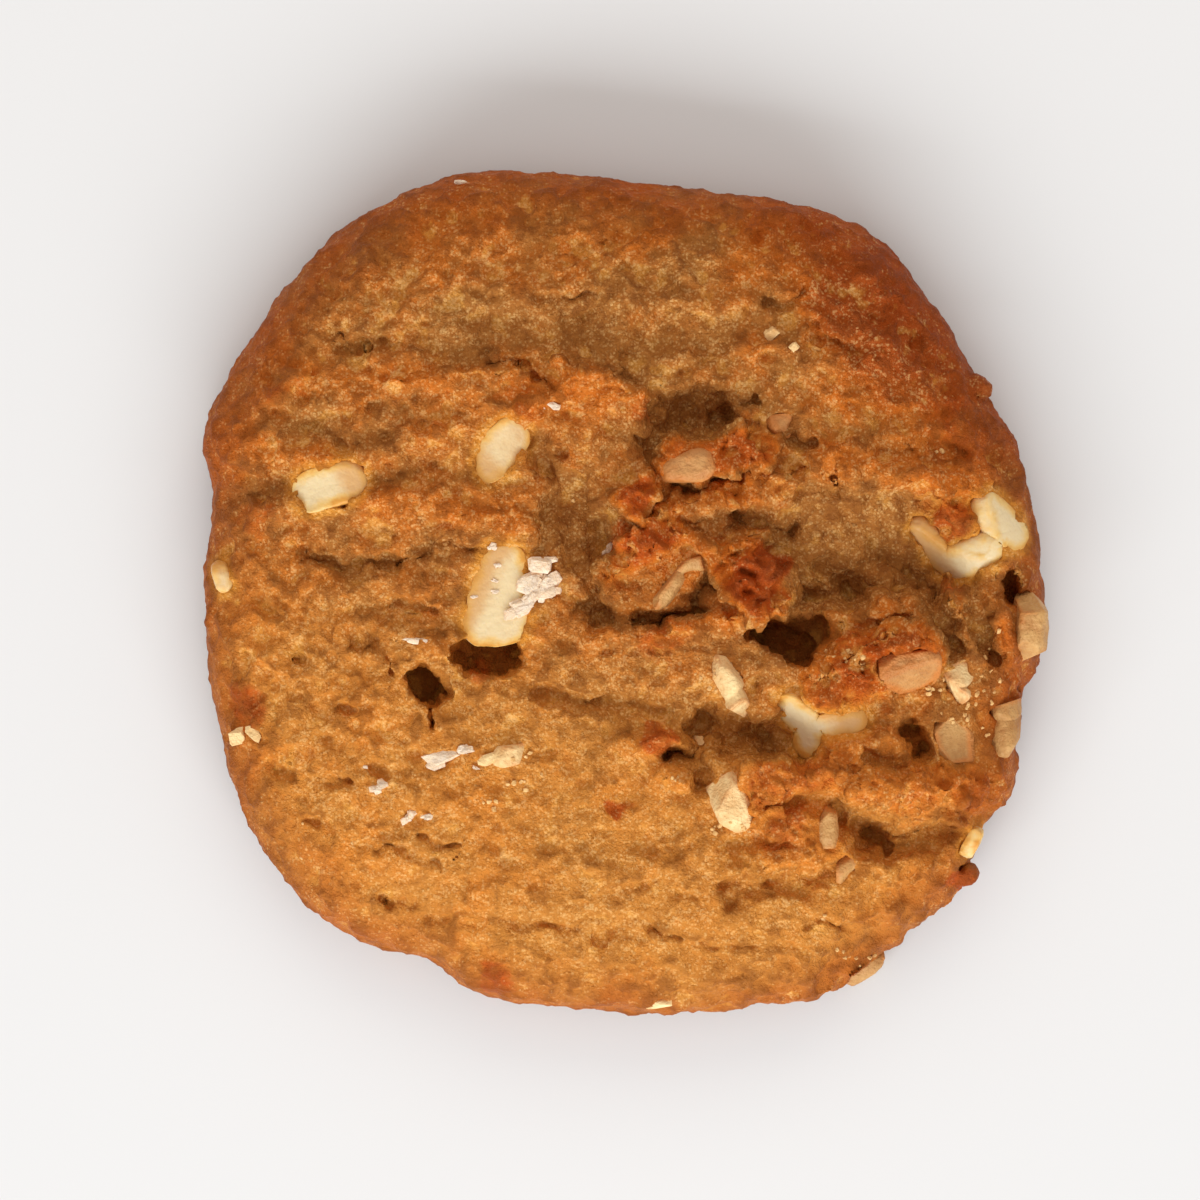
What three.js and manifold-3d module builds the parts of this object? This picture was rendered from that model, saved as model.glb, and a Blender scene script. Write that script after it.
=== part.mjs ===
// Soft-baked cookie with white chocolate chunks and nut pieces, in millimetres, +Z up, lying on z = 0.
// The dough is one solid; each chunk of chocolate or nut is a solid of its own in an open pocket of the dough.
import * as THREE from "three";
import { mergeVertices } from "three/addons/utils/BufferGeometryUtils.js";
import Module from "manifold-3d";

const wasm = await Module();
wasm.setup();

// Driving dimensions
const WAIST = 5; // height of the widest level of the flank
const CROWN = 15; // height of the smooth dome at its middle, without crags
const SHOULDER = 4; // exponent of the dome: higher is flatter on top and rounder at the shoulder
const FOOT_INSET = 1.8; // how far the foot lies inside the widest level
const CRAG_FADE = 0.86; // share of the radius from which the crags fade out toward the rim
const POCKET_GAP = 0.4; // room between a chunk and its pocket
const POCKET_RISE = 6; // how far a pocket is drawn up, so that its chunk lies open to the top
const FLAKE_HALF_HEIGHT = 0.7;

// Mesh density
const GRID = 47; // steps across the dough
const FLANK_ROWS = 4; // rows of faces from the widest level down
const BELOW_FLOOR = 1; // depth of the rough block under z = 0, cut off flat
const CURVE_SAMPLES = 640; // samples of the rim curve for looking up its radius
const CHUNK_DETAIL = 1; // subdivision of a chunk, and of the tool that cuts a cave

// The rim seen from above, clockwise from the top
const RIM = [
  [-12.5, 42.1], [-2.5, 41.4], [7.5, 40.2], [19, 38.3], [25.5, 35.2], [30.5, 29.2], [35.5, 21], [39.7, 13.4],
  [41.6, 3.2], [41.8, -4.8], [39.7, -10.8], [38.9, -18.8], [36, -23.4], [34, -28.8], [29, -33.5], [21.5, -39.6],
  [13.5, -41.3], [4.5, -42.1], [-6.5, -41.5], [-14.5, -40.2], [-19.5, -36.8], [-27.5, -34.3], [-34.5, -28],
  [-38.5, -20.8], [-41.2, -9.8], [-41.9, 0.2], [-41.2, 9.7], [-42, 16.4], [-38, 24], [-32.5, 32.2],
  [-25.5, 38], [-18.5, 41.2],
];

// Crags: a stroke from one point to another, bowed to its left by `bow`, that fades out over `reach` on its
// left and right and lifts the dough by `rise` (or sinks it, below zero); a higher `edge` gives a flatter top
// with steeper sides
const crag = (name, from, to, bow, reach, rise, edge = 1) => ({ name, from, to, bow, reach, rise, edge });
const RIDGES = [
  crag("upper left fold", [-23, 20.7], [-8, 19.9], 1.6, [1.1, 4], 1.4),
  crag("upper middle fold", [-5.3, 22], [3.6, 18.4], 0.8, [1, 4.5], 1.6),
  crag("long diagonal fold", [-30.5, 13], [-9.5, 18.7], -0.6, [1.6, 2.2], 1),
  crag("left shoulder", [-36.3, 19.7], [-31, 21.7], 0, [2, 3], 0.7),
  crag("left bank", [-36.3, 8], [-15.5, 9.2], 0.6, [2.4, 3.4], 1),
  crag("shelf", [-24, -5.3], [-16.3, -6], 0, [2.5, 1.4], 0.9),
  crag("middle ledge", [-3.5, -3.8], [12, -1.8], -0.9, [1, 2.4], 1.6),
  crag("red ridge", [-2.5, 2.6], [3.2, 7.4], 0, [0.9, 3.4], 2.3),
  crag("shard cap", [4.4, 6], [10.4, 4], 0, [1, 1.8], 1.4),
  crag("scorched tip", [12, 1.7], [15, 0.2], 0, [3.2, 3], 2.6, 3),
  crag("nut ridge", [4.8, 12.6], [14, 13.6], 0.4, [2.4, 1.9], 2.2, 3),
  crag("second ridge", [6, 8.9], [17.5, 11], 0, [1.4, 1.8], 1.4),
  crag("small knob", [0.6, 9.2], [1.8, 10], 0, [1.8, 1.8], 1.7, 2),
  crag("tongue", [11.7, 18], [16.5, 14.7], 0, [1.4, 1.5], 1.2),
  crag("right fold", [19, 13.4], [34, 8.7], 0.9, [2.6, 2.6], 1.4),
  crag("right flap", [31, 7.4], [35.2, 6.4], 0, [2, 1.6], 1.3, 2),
  crag("nut mound", [20.5, -9.3], [29, -5.8], 0.6, [3.4, 3.6], 3, 2),
  crag("mound brow", [25.5, -0.9], [28, -0.9], 0, [1.3, 1.6], 1.2),
  crag("spike", [32.4, 2.4], [32.8, -2], 0, [1.1, 1.1], 2),
  crag("rim strip", [37.5, -1.8], [39, -7.8], 0, [1.3, 1.3], 1.2),
  crag("lower ridge", [12.4, -19], [22, -17.6], 0.5, [1.6, 3], 2.2, 2),
  crag("lower right ridge", [23.6, -19.8], [37.5, -20.3], 0.6, [2.6, 2.2], 2.2, 2),
  crag("red lump", [14, -22.3], [17, -23.8], 0, [2.6, 2.6], 1.5, 2),
  crag("pit edge", [0.4, -15], [5.2, -14.3], 0, [1.2, 1.5], 1),
  crag("pit tongue", [4.4, -18.8], [6.9, -18.3], 0, [1.3, 1.3], 1.2),
  crag("shelf arc", [-23.5, -27], [20.8, -26.4], -1.5, [3, 1.8], 1.3),
  crag("shelf end", [11, -27.2], [20.8, -26.2], 0, [2, 1], 1, 2),
];
const HOLLOWS = [
  crag("upper band", [-13.5, 25.7], [9.5, 24.7], 0.5, [3.6, 3.2], -1.6),
  crag("dark pocket", [4.4, 16.8], [9.8, 17.2], 0, [3.4, 1.8], -2.8, 2),
  crag("pocket end", [2.3, 15.2], [3, 13], 0, [1.8, 1.8], -2),
  crag("chip hollow", [-8.6, 14.6], [-7.2, 12.8], 0, [2.3, 2.3], -2, 2),
  crag("middle hollow", [-5.5, 9.2], [-2.5, 3.2], 0, [3.4, 3.6], -2, 2),
  crag("left groove", [-29, 24.7], [-14, 24], 0, [1.8, 1.8], -0.9),
  crag("olive dip", [-25, 18.4], [-19.5, 19.4], 0, [1.8, 1.8], -0.9),
  crag("fold shadow", [-32.5, 16.2], [-22.5, 14.5], 0, [1.5, 1.5], -1),
  crag("chip side dip", [-24.5, 10.2], [-19.3, 13], 0, [1.8, 1.8], -1.2),
  crag("left rim dip", [-38.5, 9.2], [-34.5, 10.7], 0, [1.9, 1.9], -1.3),
  crag("long groove", [-32.5, 4], [-22.5, 2.9], -0.6, [1.2, 1.2], -1.2),
  crag("groove end", [-18, 4.2], [-14.5, 4.4], 0, [1.6, 1.6], -0.8),
  crag("left pit", [-30.7, -11.6], [-28.3, -11.4], 0, [1.6, 1.6], -0.9),
  crag("left rim pit", [-38.7, -11.6], [-36.3, -11], 0, [1.6, 1.6], -0.9),
  crag("ledge hollow", [-3.4, -1], [-2.6, -2.2], 0, [1.6, 1.6], -2, 2),
  crag("shard shadow", [1, -2.8], [7.5, -2.4], 0, [1.3, 1.1], -1.8),
  crag("smooth hollow", [17.5, 0], [31.5, 1], 0, [11, 2.6], -4.2),
  crag("cave approach", [17.5, -2], [22, 0], 0, [2.2, 2.2], -1.4),
  crag("tip shadow", [11.5, 6.8], [16.5, 6.4], 0, [1.8, 1.6], -1.8),
  crag("nut dip", [16.5, 15.2], [18.5, 14.4], 0, [1.5, 1.5], -1.4),
  crag("right diagonal", [18, 26.7], [23.5, 23], 0, [1.5, 1.5], -1),
  crag("right flank", [30.4, 30.2], [39.2, 11.2], 1.2, [4.5, 3.2], -2.4),
  crag("right rim dip", [29.3, 24.7], [31.5, 23.4], 0, [1.8, 1.8], -1.2),
  crag("right dip", [30.5, 14.7], [33, 14.2], 0, [1.6, 1.6], -1),
  crag("valley", [7.5, -13.6], [16.5, -15.4], 0, [3, 2.6], -3, 2),
  crag("valley end", [21, -16.2], [29.5, -14.6], 0, [1.8, 1.8], -2.6),
  crag("centre dip", [-8.5, -10.3], [6.5, -11.3], 0, [2, 2], -1.3),
  crag("pit", [4.6, -16.2], [6, -16.6], 0, [1.5, 1.5], -2.8),
  crag("pit arm", [7.3, -15.8], [7.8, -19.3], 0, [1.5, 1.5], -2),
  crag("shard hollow", [22, -21.8], [24.5, -25.5], 0, [2.2, 2.2], -2.2),
  crag("right low hollow", [26.5, -23.8], [32.5, -24.8], 0, [1.6, 1.6], -1.4),
  crag("under shelf", [12, -29.6], [21, -28], 0, [1.2, 3.2], -1.8),
  crag("low crevice", [-1, -34.3], [13, -35.1], 0.4, [1.3, 1.3], -0.9),
  crag("nut crevice", [34.5, -0.8], [36.2, -5.3], 0, [1.6, 1.6], -1.4),
];

// Waviness of the dough between the crags: wavelength along and across its folds, and height
const FOLD_SPAN = 50; // half distance between the two points where the folds would meet
const FOLD_LENGTH = 7;
const FOLD_WIDTH = 3.6;
const FOLD_RISE = 0.55;
const WARP_LENGTH = 5; // wavelength and size of the wandering of the crags
const WARP = 0.7;

// Caves: centre, half sizes, turn about z in degrees
const cave = (centre, half, turn) => ({ centre, half, turn });
const CAVES = [
  cave([16.2, -4.9, 10], [4, 2.3, 6], -25),
  cave([-13.3, -6.5, 11], [3.2, 1.6, 4.5], 3),
  cave([-19.5, -9.4, 11.5], [1.8, 1.7, 5], 0),
  cave([38, 0.4, 9.5], [1.2, 1.8, 5], 0),
  cave([30, -15.3, 10], [1.3, 1.5, 3], 0),
];

// Chunks: lobes from above (centre, half lengths, turn about z in degrees), half height, how far the top stands
// over the dough at the first lobe, seed of the broken faces
const lobe = (centre, half, turn) => ({ centre, half, turn });
const chunk = (name, lobes, halfHeight, proud, seed) => ({ name, lobes, halfHeight, proud, seed });
const bar = (...values) => ({ ...chunk(...values), filled: true }); // a chunk without a waist between its lobes
const CHIPS = [
  chunk("white_chip_left", [lobe([-29.2, 10.5], [3.5, 1.9], 19)], 2.2, 0.5, 1),
  bar("white_chip_upper", [lobe([-11.8, 15.2], [1.9, 1.5], 40), lobe([-13.1, 12.8], [1.9, 1.3], 40)], 2.2, 0.4, 2),
  bar("white_chip_middle", [lobe([-12, 2.7], [1.9, 1.9], 0), lobe([-12.8, -2.8], [3.1, 2.2], 4)], 2.6, 0.8, 3),
  chunk(
    "white_chip_right",
    [lobe([34.5, 3.7], [3.1, 1.7], 25), lobe([30.6, 5], [3, 1.1], -50), lobe([37.2, 7], [3.2, 1.6], -48)],
    2.2, 0.5, 4,
  ),
  chunk(
    "white_chip_low",
    [lobe([17.2, -12.2], [2.2, 1.1], -42), lobe([18.4, -14.2], [1.9, 1.1], 75), lobe([21.3, -13], [2.5, 0.8], 9)],
    2.2, 0.6, 5,
  ),
  chunk("white_chip_rim", [lobe([34.6, -25], [2.2, 1.3], 65)], 2.6, 1.2, 6),
  chunk("white_chip_edge", [lobe([-40.1, 1.4], [1.7, 0.9], -73)], 1.6, 0.7, 7),
];
const NUTS = [
  chunk("nut_upper", [lobe([6.6, 12.3], [3, 1.8], 20)], 2, 0.7, 11),
  chunk("nut_centre", [lobe([4, -0.1], [2.8, 1], 52), lobe([6.8, 2.8], [2, 0.8], 22)], 2, 0.9, 12),
  chunk("nut_speck", [lobe([15.6, 16.9], [2, 1.4], -32)], 1.5, 0.3, 13),
  chunk("nut_cream", [lobe([10.3, -8.3], [2.6, 1.5], -72), lobe([11.2, -11.3], [1.9, 1], -75)], 2, 1, 14),
  chunk("nut_flat", [lobe([27.9, -7.5], [3.8, 2.8], 14)], 2.2, 0.4, 15),
  chunk("nut_rim", [lobe([40.5, -3.2], [4.9, 1.6], -89)], 3, 2.4, 16),
  chunk("nut_right", [lobe([32.6, -14.8], [3.4, 2], -79)], 2.2, 1, 17),
  chunk("nut_rim_low", [lobe([38.1, -11.5], [2, 1.5], 8), lobe([37.9, -14], [2.6, 1.5], -100)], 2.4, 1, 18),
  chunk("nut_crumbly", [lobe([33, -8.5], [2, 1.2], 40), lobe([32.8, -10.1], [1.6, 0.9], -15)], 1.4, 0.6, 24),
  chunk("nut_low", [lobe([10.7, -20.9], [3.1, 2.4], -55)], 2.6, 1.5, 19),
  chunk("nut_shard", [lobe([19.8, -23.4], [2.7, 1.3], -85)], 1.8, 0.8, 20),
  chunk("nut_triangle", [lobe([22.1, -27.4], [1.9, 1.5], 60)], 1.5, 0.7, 21),
  chunk("nut_small", [lobe([-11.4, -15.9], [2.1, 1.4], 12)], 1.5, 0.8, 22),
];
const NUT_FOOT = { ...chunk("nut_foot", [lobe([23.5, -37.2], [3.2, 1.3], 36)], 1, 0, 23), level: 1.5, shaft: 0 };
const CHIP_BREAK = { cuts: 3, depth: 0.84, square: 0.62 }; // broken faces, their depth, exponent of boxiness
const NUT_BREAK = { cuts: 7, depth: 0.74, square: 0.85 };
const CUT_SPREAD = 0.14; // how much further out some of the broken faces lie
const TOP_CUT = 0.75; // level of the flat top of a chunk as a share of its half height
const TOP_TILT = 0.16;

// Flakes and crumbs fused to the dough: centre, half sizes, turn about z in degrees
const flake = (centre, half, turn) => ({ centre, half, turn });
const FLAKES = [
  flake([-8.5, 2.7], [1.1, 0.9], 0),
  flake([-8.3, 0.6], [2.2, 1.1], 10),
  flake([-9.6, -1.6], [1.5, 1], 20),
  flake([-17.8, -16.2], [2.6, 1], 14),
  flake([-24.2, -19.5], [0.9, 0.7], 0),
  flake([-21.5, -22.6], [1.1, 0.7], 25),
  flake([-7.2, 18.5], [1, 0.5], -10),
  flake([-1.5, 4.3], [0.7, 0.5], 30),
  flake([-38.6, -14.5], [1.2, 1.1], 0),
  flake([-36.8, -14.1], [1.2, 0.8], -45),
];

const DOUGH_COLOUR = "#b5702f";
const CHIP_COLOUR = "#f0dcae";
const NUT_COLOUR = "#cf9a66";

// Repeatable random number from 0 to 1 for a lattice point
function lattice(ix, iy, seed) {
  let hash = (Math.imul(ix, 374761393) + Math.imul(iy, 668265263) + Math.imul(seed, 974711)) | 0;
  hash = Math.imul(hash ^ (hash >>> 13), 1274126177);
  return ((hash ^ (hash >>> 16)) >>> 0) / 2 ** 32;
}

const ease = (t) => t * t * t * (t * (t * 6 - 15) + 10);

// Smooth noise of about -1 to 1, from gradients on a lattice of step 1
function noise(x, y, seed) {
  const column = Math.floor(x);
  const row = Math.floor(y);
  const fx = x - column;
  const fy = y - row;
  const corner = (i, j) => {
    const turn = lattice(column + i, row + j, seed) * 2 * Math.PI;
    return Math.cos(turn) * (fx - i) + Math.sin(turn) * (fy - j);
  };
  const low = THREE.MathUtils.lerp(corner(0, 0), corner(1, 0), ease(fx));
  const high = THREE.MathUtils.lerp(corner(0, 1), corner(1, 1), ease(fx));
  return 1.4 * THREE.MathUtils.lerp(low, high, ease(fy));
}

// Radius of the rim at an angle, from samples of the closed curve through its points
function makeRimRadius() {
  const curve = new THREE.CatmullRomCurve3(RIM.map(([x, y]) => new THREE.Vector3(x, y, 0)), true, "catmullrom");
  const samples = [];
  for (let i = 0; i < CURVE_SAMPLES; i += 1) {
    const point = curve.getPoint(i / CURVE_SAMPLES);
    samples.push({ angle: Math.atan2(point.y, point.x), radius: Math.hypot(point.x, point.y) });
  }
  samples.sort((a, b) => a.angle - b.angle);
  return (angle) => {
    const found = samples.findIndex((sample) => sample.angle >= angle);
    const next = found < 0 ? 0 : found;
    const after = samples[next];
    const before = samples[(next + CURVE_SAMPLES - 1) % CURVE_SAMPLES];
    const wrap = (a) => THREE.MathUtils.euclideanModulo(a, 2 * Math.PI);
    const share = wrap(angle - before.angle) / wrap(after.angle - before.angle);
    return THREE.MathUtils.lerp(before.radius, after.radius, share);
  };
}

const rimRadius = makeRimRadius();

// Height that one crag adds at a point
function cragHeight({ from, to, bow, reach, rise, edge }, x, y) {
  const dx = to[0] - from[0];
  const dy = to[1] - from[1];
  const length = Math.hypot(dx, dy);
  const along = ((x - from[0]) * dx + (y - from[1]) * dy) / length;
  const share = THREE.MathUtils.clamp(along / length, 0, 1);
  const past = along - share * length;
  const side = ((y - from[1]) * dx - (x - from[0]) * dy) / length - bow * 4 * share * (1 - share);
  const [left, right] = reach;
  const away = (side / (side > 0 ? left : right)) ** 2 + (past / ((left + right) / 2)) ** 2;
  return away < 1 ? rise * (1 - away ** edge) ** 2 : 0;
}

// Height of the dough's folds, whose lines bow like the meridians of a globe
function foldHeight(x, y) {
  const across = y / Math.sqrt(1 - (x / FOLD_SPAN) ** 2);
  return FOLD_RISE * noise(x / FOLD_LENGTH, across / FOLD_WIDTH, 1);
}

// Height of the top of the dough, before caves and pockets
function surfaceHeight(x, y) {
  const share = Math.min(Math.hypot(x, y) / rimRadius(Math.atan2(y, x)), 1);
  const dome = WAIST + (CROWN - WAIST) * Math.sqrt(1 - share ** SHOULDER);
  const wanderX = x + WARP * noise(x / WARP_LENGTH, y / WARP_LENGTH, 5);
  const wanderY = y + WARP * noise(x / WARP_LENGTH, y / WARP_LENGTH, 6);
  let relief = foldHeight(x, y);
  for (const one of [...RIDGES, ...HOLLOWS]) {
    relief += cragHeight(one, wanderX, wanderY);
  }
  const fade = 1 - Math.max(0, (share - CRAG_FADE) / (1 - CRAG_FADE)) ** 2;
  return dome + fade * relief;
}

// How far the flank lies inside the widest level at a height below it
function undercut(z) {
  const drop = 1 - Math.max(z, 0) / WAIST;
  return FOOT_INSET * (1 - Math.sqrt(1 - drop ** 2));
}

// Moves each vertex of a geometry
function displace(geometry, move) {
  const position = geometry.getAttribute("position");
  const vertex = new THREE.Vector3();
  for (let i = 0; i < position.count; i += 1) {
    vertex.fromBufferAttribute(position, i);
    move(vertex);
    position.setXYZ(i, vertex.x, vertex.y, vertex.z);
  }
  return geometry;
}

// Geometry to a solid for cutting and joining
function toSolid(geometry) {
  geometry.deleteAttribute("normal");
  geometry.deleteAttribute("uv");
  const merged = mergeVertices(geometry);
  const mesh = new wasm.Mesh({
    numProp: 3,
    vertProperties: new Float32Array(merged.getAttribute("position").array),
    triVerts: new Uint32Array(merged.getIndex().array),
  });
  return new wasm.Manifold(mesh);
}

// A solid back to a named mesh of a colour
function toMesh(solid, name, colour) {
  const mesh = solid.getMesh();
  const geometry = new THREE.BufferGeometry();
  geometry.setAttribute("position", new THREE.BufferAttribute(new Float32Array(mesh.vertProperties), 3));
  geometry.setIndex(new THREE.BufferAttribute(new Uint32Array(mesh.triVerts), 1));
  const node = new THREE.Mesh(geometry, new THREE.MeshStandardMaterial({ color: colour, roughness: 0.7 }));
  node.name = name;
  return node;
}

// A cube's grid of faces drawn out to the round, craggy block of dough, with a rough underside below the floor
function doughBlock() {
  const cube = new THREE.BoxGeometry(2, 2, 2, GRID, GRID, FLANK_ROWS);
  const block = displace(cube, (vertex) => {
    const u = vertex.x * Math.sqrt(1 - vertex.y ** 2 / 2);
    const v = vertex.y * Math.sqrt(1 - vertex.x ** 2 / 2);
    const angle = Math.atan2(v, u);
    const onTop = vertex.z > 1 - 1e-6;
    const depth = (1 - vertex.z) / 2;
    const level = WAIST - depth * (WAIST + BELOW_FLOOR);
    const inset = onTop ? 0 : undercut(level);
    const radius = Math.hypot(u, v) * (rimRadius(angle) - inset);
    vertex.x = radius * Math.cos(angle);
    vertex.y = radius * Math.sin(angle);
    vertex.z = onTop ? surfaceHeight(vertex.x, vertex.y) : level;
  });
  return toSolid(block);
}

// Everything above the floor
function aboveFloor() {
  const size = 200;
  const half = new THREE.BoxGeometry(size, size, size);
  half.translate(0, 0, size / 2);
  return toSolid(half);
}

// The flat faces that break a lobe: its top, then others in random directions
function brokenFaces({ seed, style }, index) {
  const draw = (i, kind) => lattice(seed + 40 * index, i, kind);
  const faces = [{ normal: new THREE.Vector3(0, 0, 1), depth: TOP_CUT }];
  faces[0].normal.x = TOP_TILT * (draw(0, 34) * 2 - 1);
  faces[0].normal.y = TOP_TILT * (draw(0, 35) * 2 - 1);
  faces[0].normal.normalize();
  for (let i = 0; i < style.cuts; i += 1) {
    const z = draw(i, 31) * 2 - 1;
    const angle = draw(i, 32) * 2 * Math.PI;
    const flat = Math.sqrt(1 - z * z);
    const normal = new THREE.Vector3(flat * Math.cos(angle), flat * Math.sin(angle), z);
    faces.push({ normal, depth: style.depth + CUT_SPREAD * draw(i, 33) });
  }
  return faces;
}

// One lobe of a chunk: a boxy lump with flat broken faces; `grow` swells it to the pocket it lies in
function lobeSolid(piece, index, grow) {
  const { centre, half, turn } = piece.lobes[index];
  const faces = brokenFaces(piece, index);
  const boxy = (part) => Math.sign(part) * Math.abs(part) ** piece.style.square;
  const ball = displace(new THREE.IcosahedronGeometry(1, CHUNK_DETAIL), (vertex) => {
    vertex.set(boxy(vertex.x), boxy(vertex.y), boxy(vertex.z));
    for (const { normal, depth } of faces) {
      vertex.addScaledVector(normal, -Math.max(0, vertex.dot(normal) - depth));
    }
  });
  ball.scale(half[0] + grow, half[1] + grow, piece.halfHeight + grow);
  ball.rotateZ(THREE.MathUtils.degToRad(turn));
  ball.translate(centre[0], centre[1], piece.level);
  return toSolid(ball);
}

// The lobes of a chunk made one: as they are, or with the waist between them filled
const joined = (piece, lobes) => (piece.filled ? wasm.Manifold.hull(lobes) : wasm.Manifold.union(lobes));

const chunkSolid = (piece) => joined(piece, piece.lobes.map((one, index) => lobeSolid(piece, index, 0)));

// The pocket of a chunk, open to the top
function pocketTool(piece) {
  const shafts = piece.lobes.map((one, index) => {
    const swollen = lobeSolid(piece, index, POCKET_GAP);
    return wasm.Manifold.hull([swollen, swollen.translate([0, 0, piece.shaft])]);
  });
  return joined(piece, shafts);
}

// The tool that cuts a cave
function caveTool({ centre, half, turn }) {
  const ball = new THREE.IcosahedronGeometry(1, CHUNK_DETAIL + 1);
  ball.scale(half[0], half[1], half[2]);
  ball.rotateZ(THREE.MathUtils.degToRad(turn));
  ball.translate(centre[0], centre[1], centre[2]);
  return toSolid(ball);
}

// A flake that lies half sunk on the dough
function flakeSolid({ centre, half, turn }) {
  const ball = new THREE.IcosahedronGeometry(1, 0);
  ball.scale(half[0], half[1], FLAKE_HALF_HEIGHT);
  ball.rotateZ(THREE.MathUtils.degToRad(turn));
  ball.translate(centre[0], centre[1], surfaceHeight(centre[0], centre[1]));
  return toSolid(ball);
}

// The largest body of a solid, without crumbs that a cut leaves loose
function largestBody(solid) {
  const bodies = solid.decompose();
  return bodies.reduce((best, body) => (body.volume() > best.volume() ? body : best));
}

// A chunk with the level of its middle, so that its flat top stands `proud` over the dough, and its pocket's rise
function inPlace(piece) {
  const [x, y] = piece.lobes[0].centre;
  return { ...piece, level: surfaceHeight(x, y) + piece.proud - TOP_CUT * piece.halfHeight, shaft: POCKET_RISE };
}

const pieces = [
  ...CHIPS.map((piece) => ({ ...inPlace(piece), colour: CHIP_COLOUR, style: CHIP_BREAK })),
  ...NUTS.map((piece) => ({ ...inPlace(piece), colour: NUT_COLOUR, style: NUT_BREAK })),
  { ...NUT_FOOT, colour: NUT_COLOUR, style: NUT_BREAK },
];

const floor = aboveFloor();
let dough = doughBlock().intersect(floor);
for (const one of FLAKES) {
  dough = dough.add(flakeSolid(one));
}
for (const one of CAVES) {
  dough = dough.subtract(caveTool(one));
}
for (const piece of pieces) {
  dough = dough.subtract(pocketTool(piece));
}

const cookie = new THREE.Group();
cookie.name = "cookie";
cookie.add(toMesh(largestBody(dough), "cookie_dough", DOUGH_COLOUR));
for (const piece of pieces) {
  const solid = chunkSolid(piece).intersect(floor);
  cookie.add(toMesh(largestBody(solid), piece.name, piece.colour));
}

// The origin lies under the middle of the cookie
const middle = new THREE.Box3().setFromObject(cookie).getCenter(new THREE.Vector3());
for (const node of cookie.children) {
  node.geometry.translate(-middle.x, -middle.y, 0);
}

export default cookie;
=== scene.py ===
"""Soft-baked cookie with white chocolate chunks and nut pieces, dressed over its frame of solids.

The dough's form is worked out in millimetres from the same named sizes as the solids, then refined with
crumb, folds and cracks that the solids leave out. Objects are in metres.
"""
import itertools
import math

import bmesh
import bpy
import numpy as np
import openvdb
from mathutils import Matrix, Vector
from mathutils.bvhtree import BVHTree


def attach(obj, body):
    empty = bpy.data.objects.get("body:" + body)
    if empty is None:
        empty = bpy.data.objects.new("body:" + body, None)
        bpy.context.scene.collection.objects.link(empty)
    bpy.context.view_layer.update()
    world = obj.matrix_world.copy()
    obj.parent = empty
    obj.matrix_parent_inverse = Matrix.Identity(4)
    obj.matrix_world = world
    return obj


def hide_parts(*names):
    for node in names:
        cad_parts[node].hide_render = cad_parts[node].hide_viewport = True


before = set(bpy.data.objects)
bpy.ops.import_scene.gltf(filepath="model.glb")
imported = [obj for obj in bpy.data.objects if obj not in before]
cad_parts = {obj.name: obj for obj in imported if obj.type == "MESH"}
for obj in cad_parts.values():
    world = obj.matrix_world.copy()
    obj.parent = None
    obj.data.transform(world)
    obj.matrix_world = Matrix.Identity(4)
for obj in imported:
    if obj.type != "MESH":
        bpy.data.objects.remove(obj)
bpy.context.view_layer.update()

MM = 0.001
SKY = 0.05  # height, in metres, from which things are let down on the cookie

# Form of the dough, as in the solids
WAIST = 5.0  # height of the widest level of the flank
CROWN = 15.0  # height of the smooth dome at its middle
SHOULDER = 4.0  # exponent of the dome
CEILING = 16.6  # crags over this height round off
CEILING_GIVE = 1.2  # how far they may still rise over it
FOOT_INSET = 1.8  # how far the foot lies in from the widest level
CRAG_FADE = 0.86  # share of the radius from which the crags fade out
FOLD_SPAN = 50.0  # half width over which the low folds bow, more than the cookie's
FOLD_LENGTH = 6.0
FOLD_WIDTH = 3.6
FOLD_RISE = 0.3
RIM_STEPS = 20  # points of the rim's curve between two points of its table
WARP_LENGTH = 5.0  # wavelength of the crags' wandering
WARP = 0.7  # how far they wander

# Finer form that the solids leave out: wavelength and size of the crags' raggedness
TEARS = [(2.4, 0.8), (1.1, 0.3)]
FLAT_TOP = 3  # edge from which a crag counts as flat-topped
STEEP_FOOT = 1.2  # exponent at the foot of flat-topped crags
SOFT_FOOT = 2  # exponent at the foot of the others
UNEVEN = 0.4  # share by which the crags' height comes and goes
UNEVEN_SIZE = 3.1

# The rim seen from above, clockwise from the top
RIM = [
    (-12.5, 42.1), (-2.5, 41.4), (7.5, 40.2), (19, 38.3), (25.5, 35.2), (30.5, 29.2), (35.5, 21),
    (39.7, 13.4), (41.6, 3.2), (41.8, -4.8), (39.7, -10.8), (38.9, -18.8), (36, -23.4), (34, -28.8),
    (29, -33.5), (21.5, -39.6), (13.5, -41.3), (4.5, -42.1), (-6.5, -41.5), (-14.5, -40.2), (-19.5, -36.8),
    (-27.5, -34.3), (-34.5, -28), (-38.5, -20.8), (-41.2, -9.8), (-41.9, 0.2), (-41.2, 9.7), (-42, 16.4),
    (-38, 24), (-32.5, 32.2), (-25.5, 38), (-18.5, 41.2),
]

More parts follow.
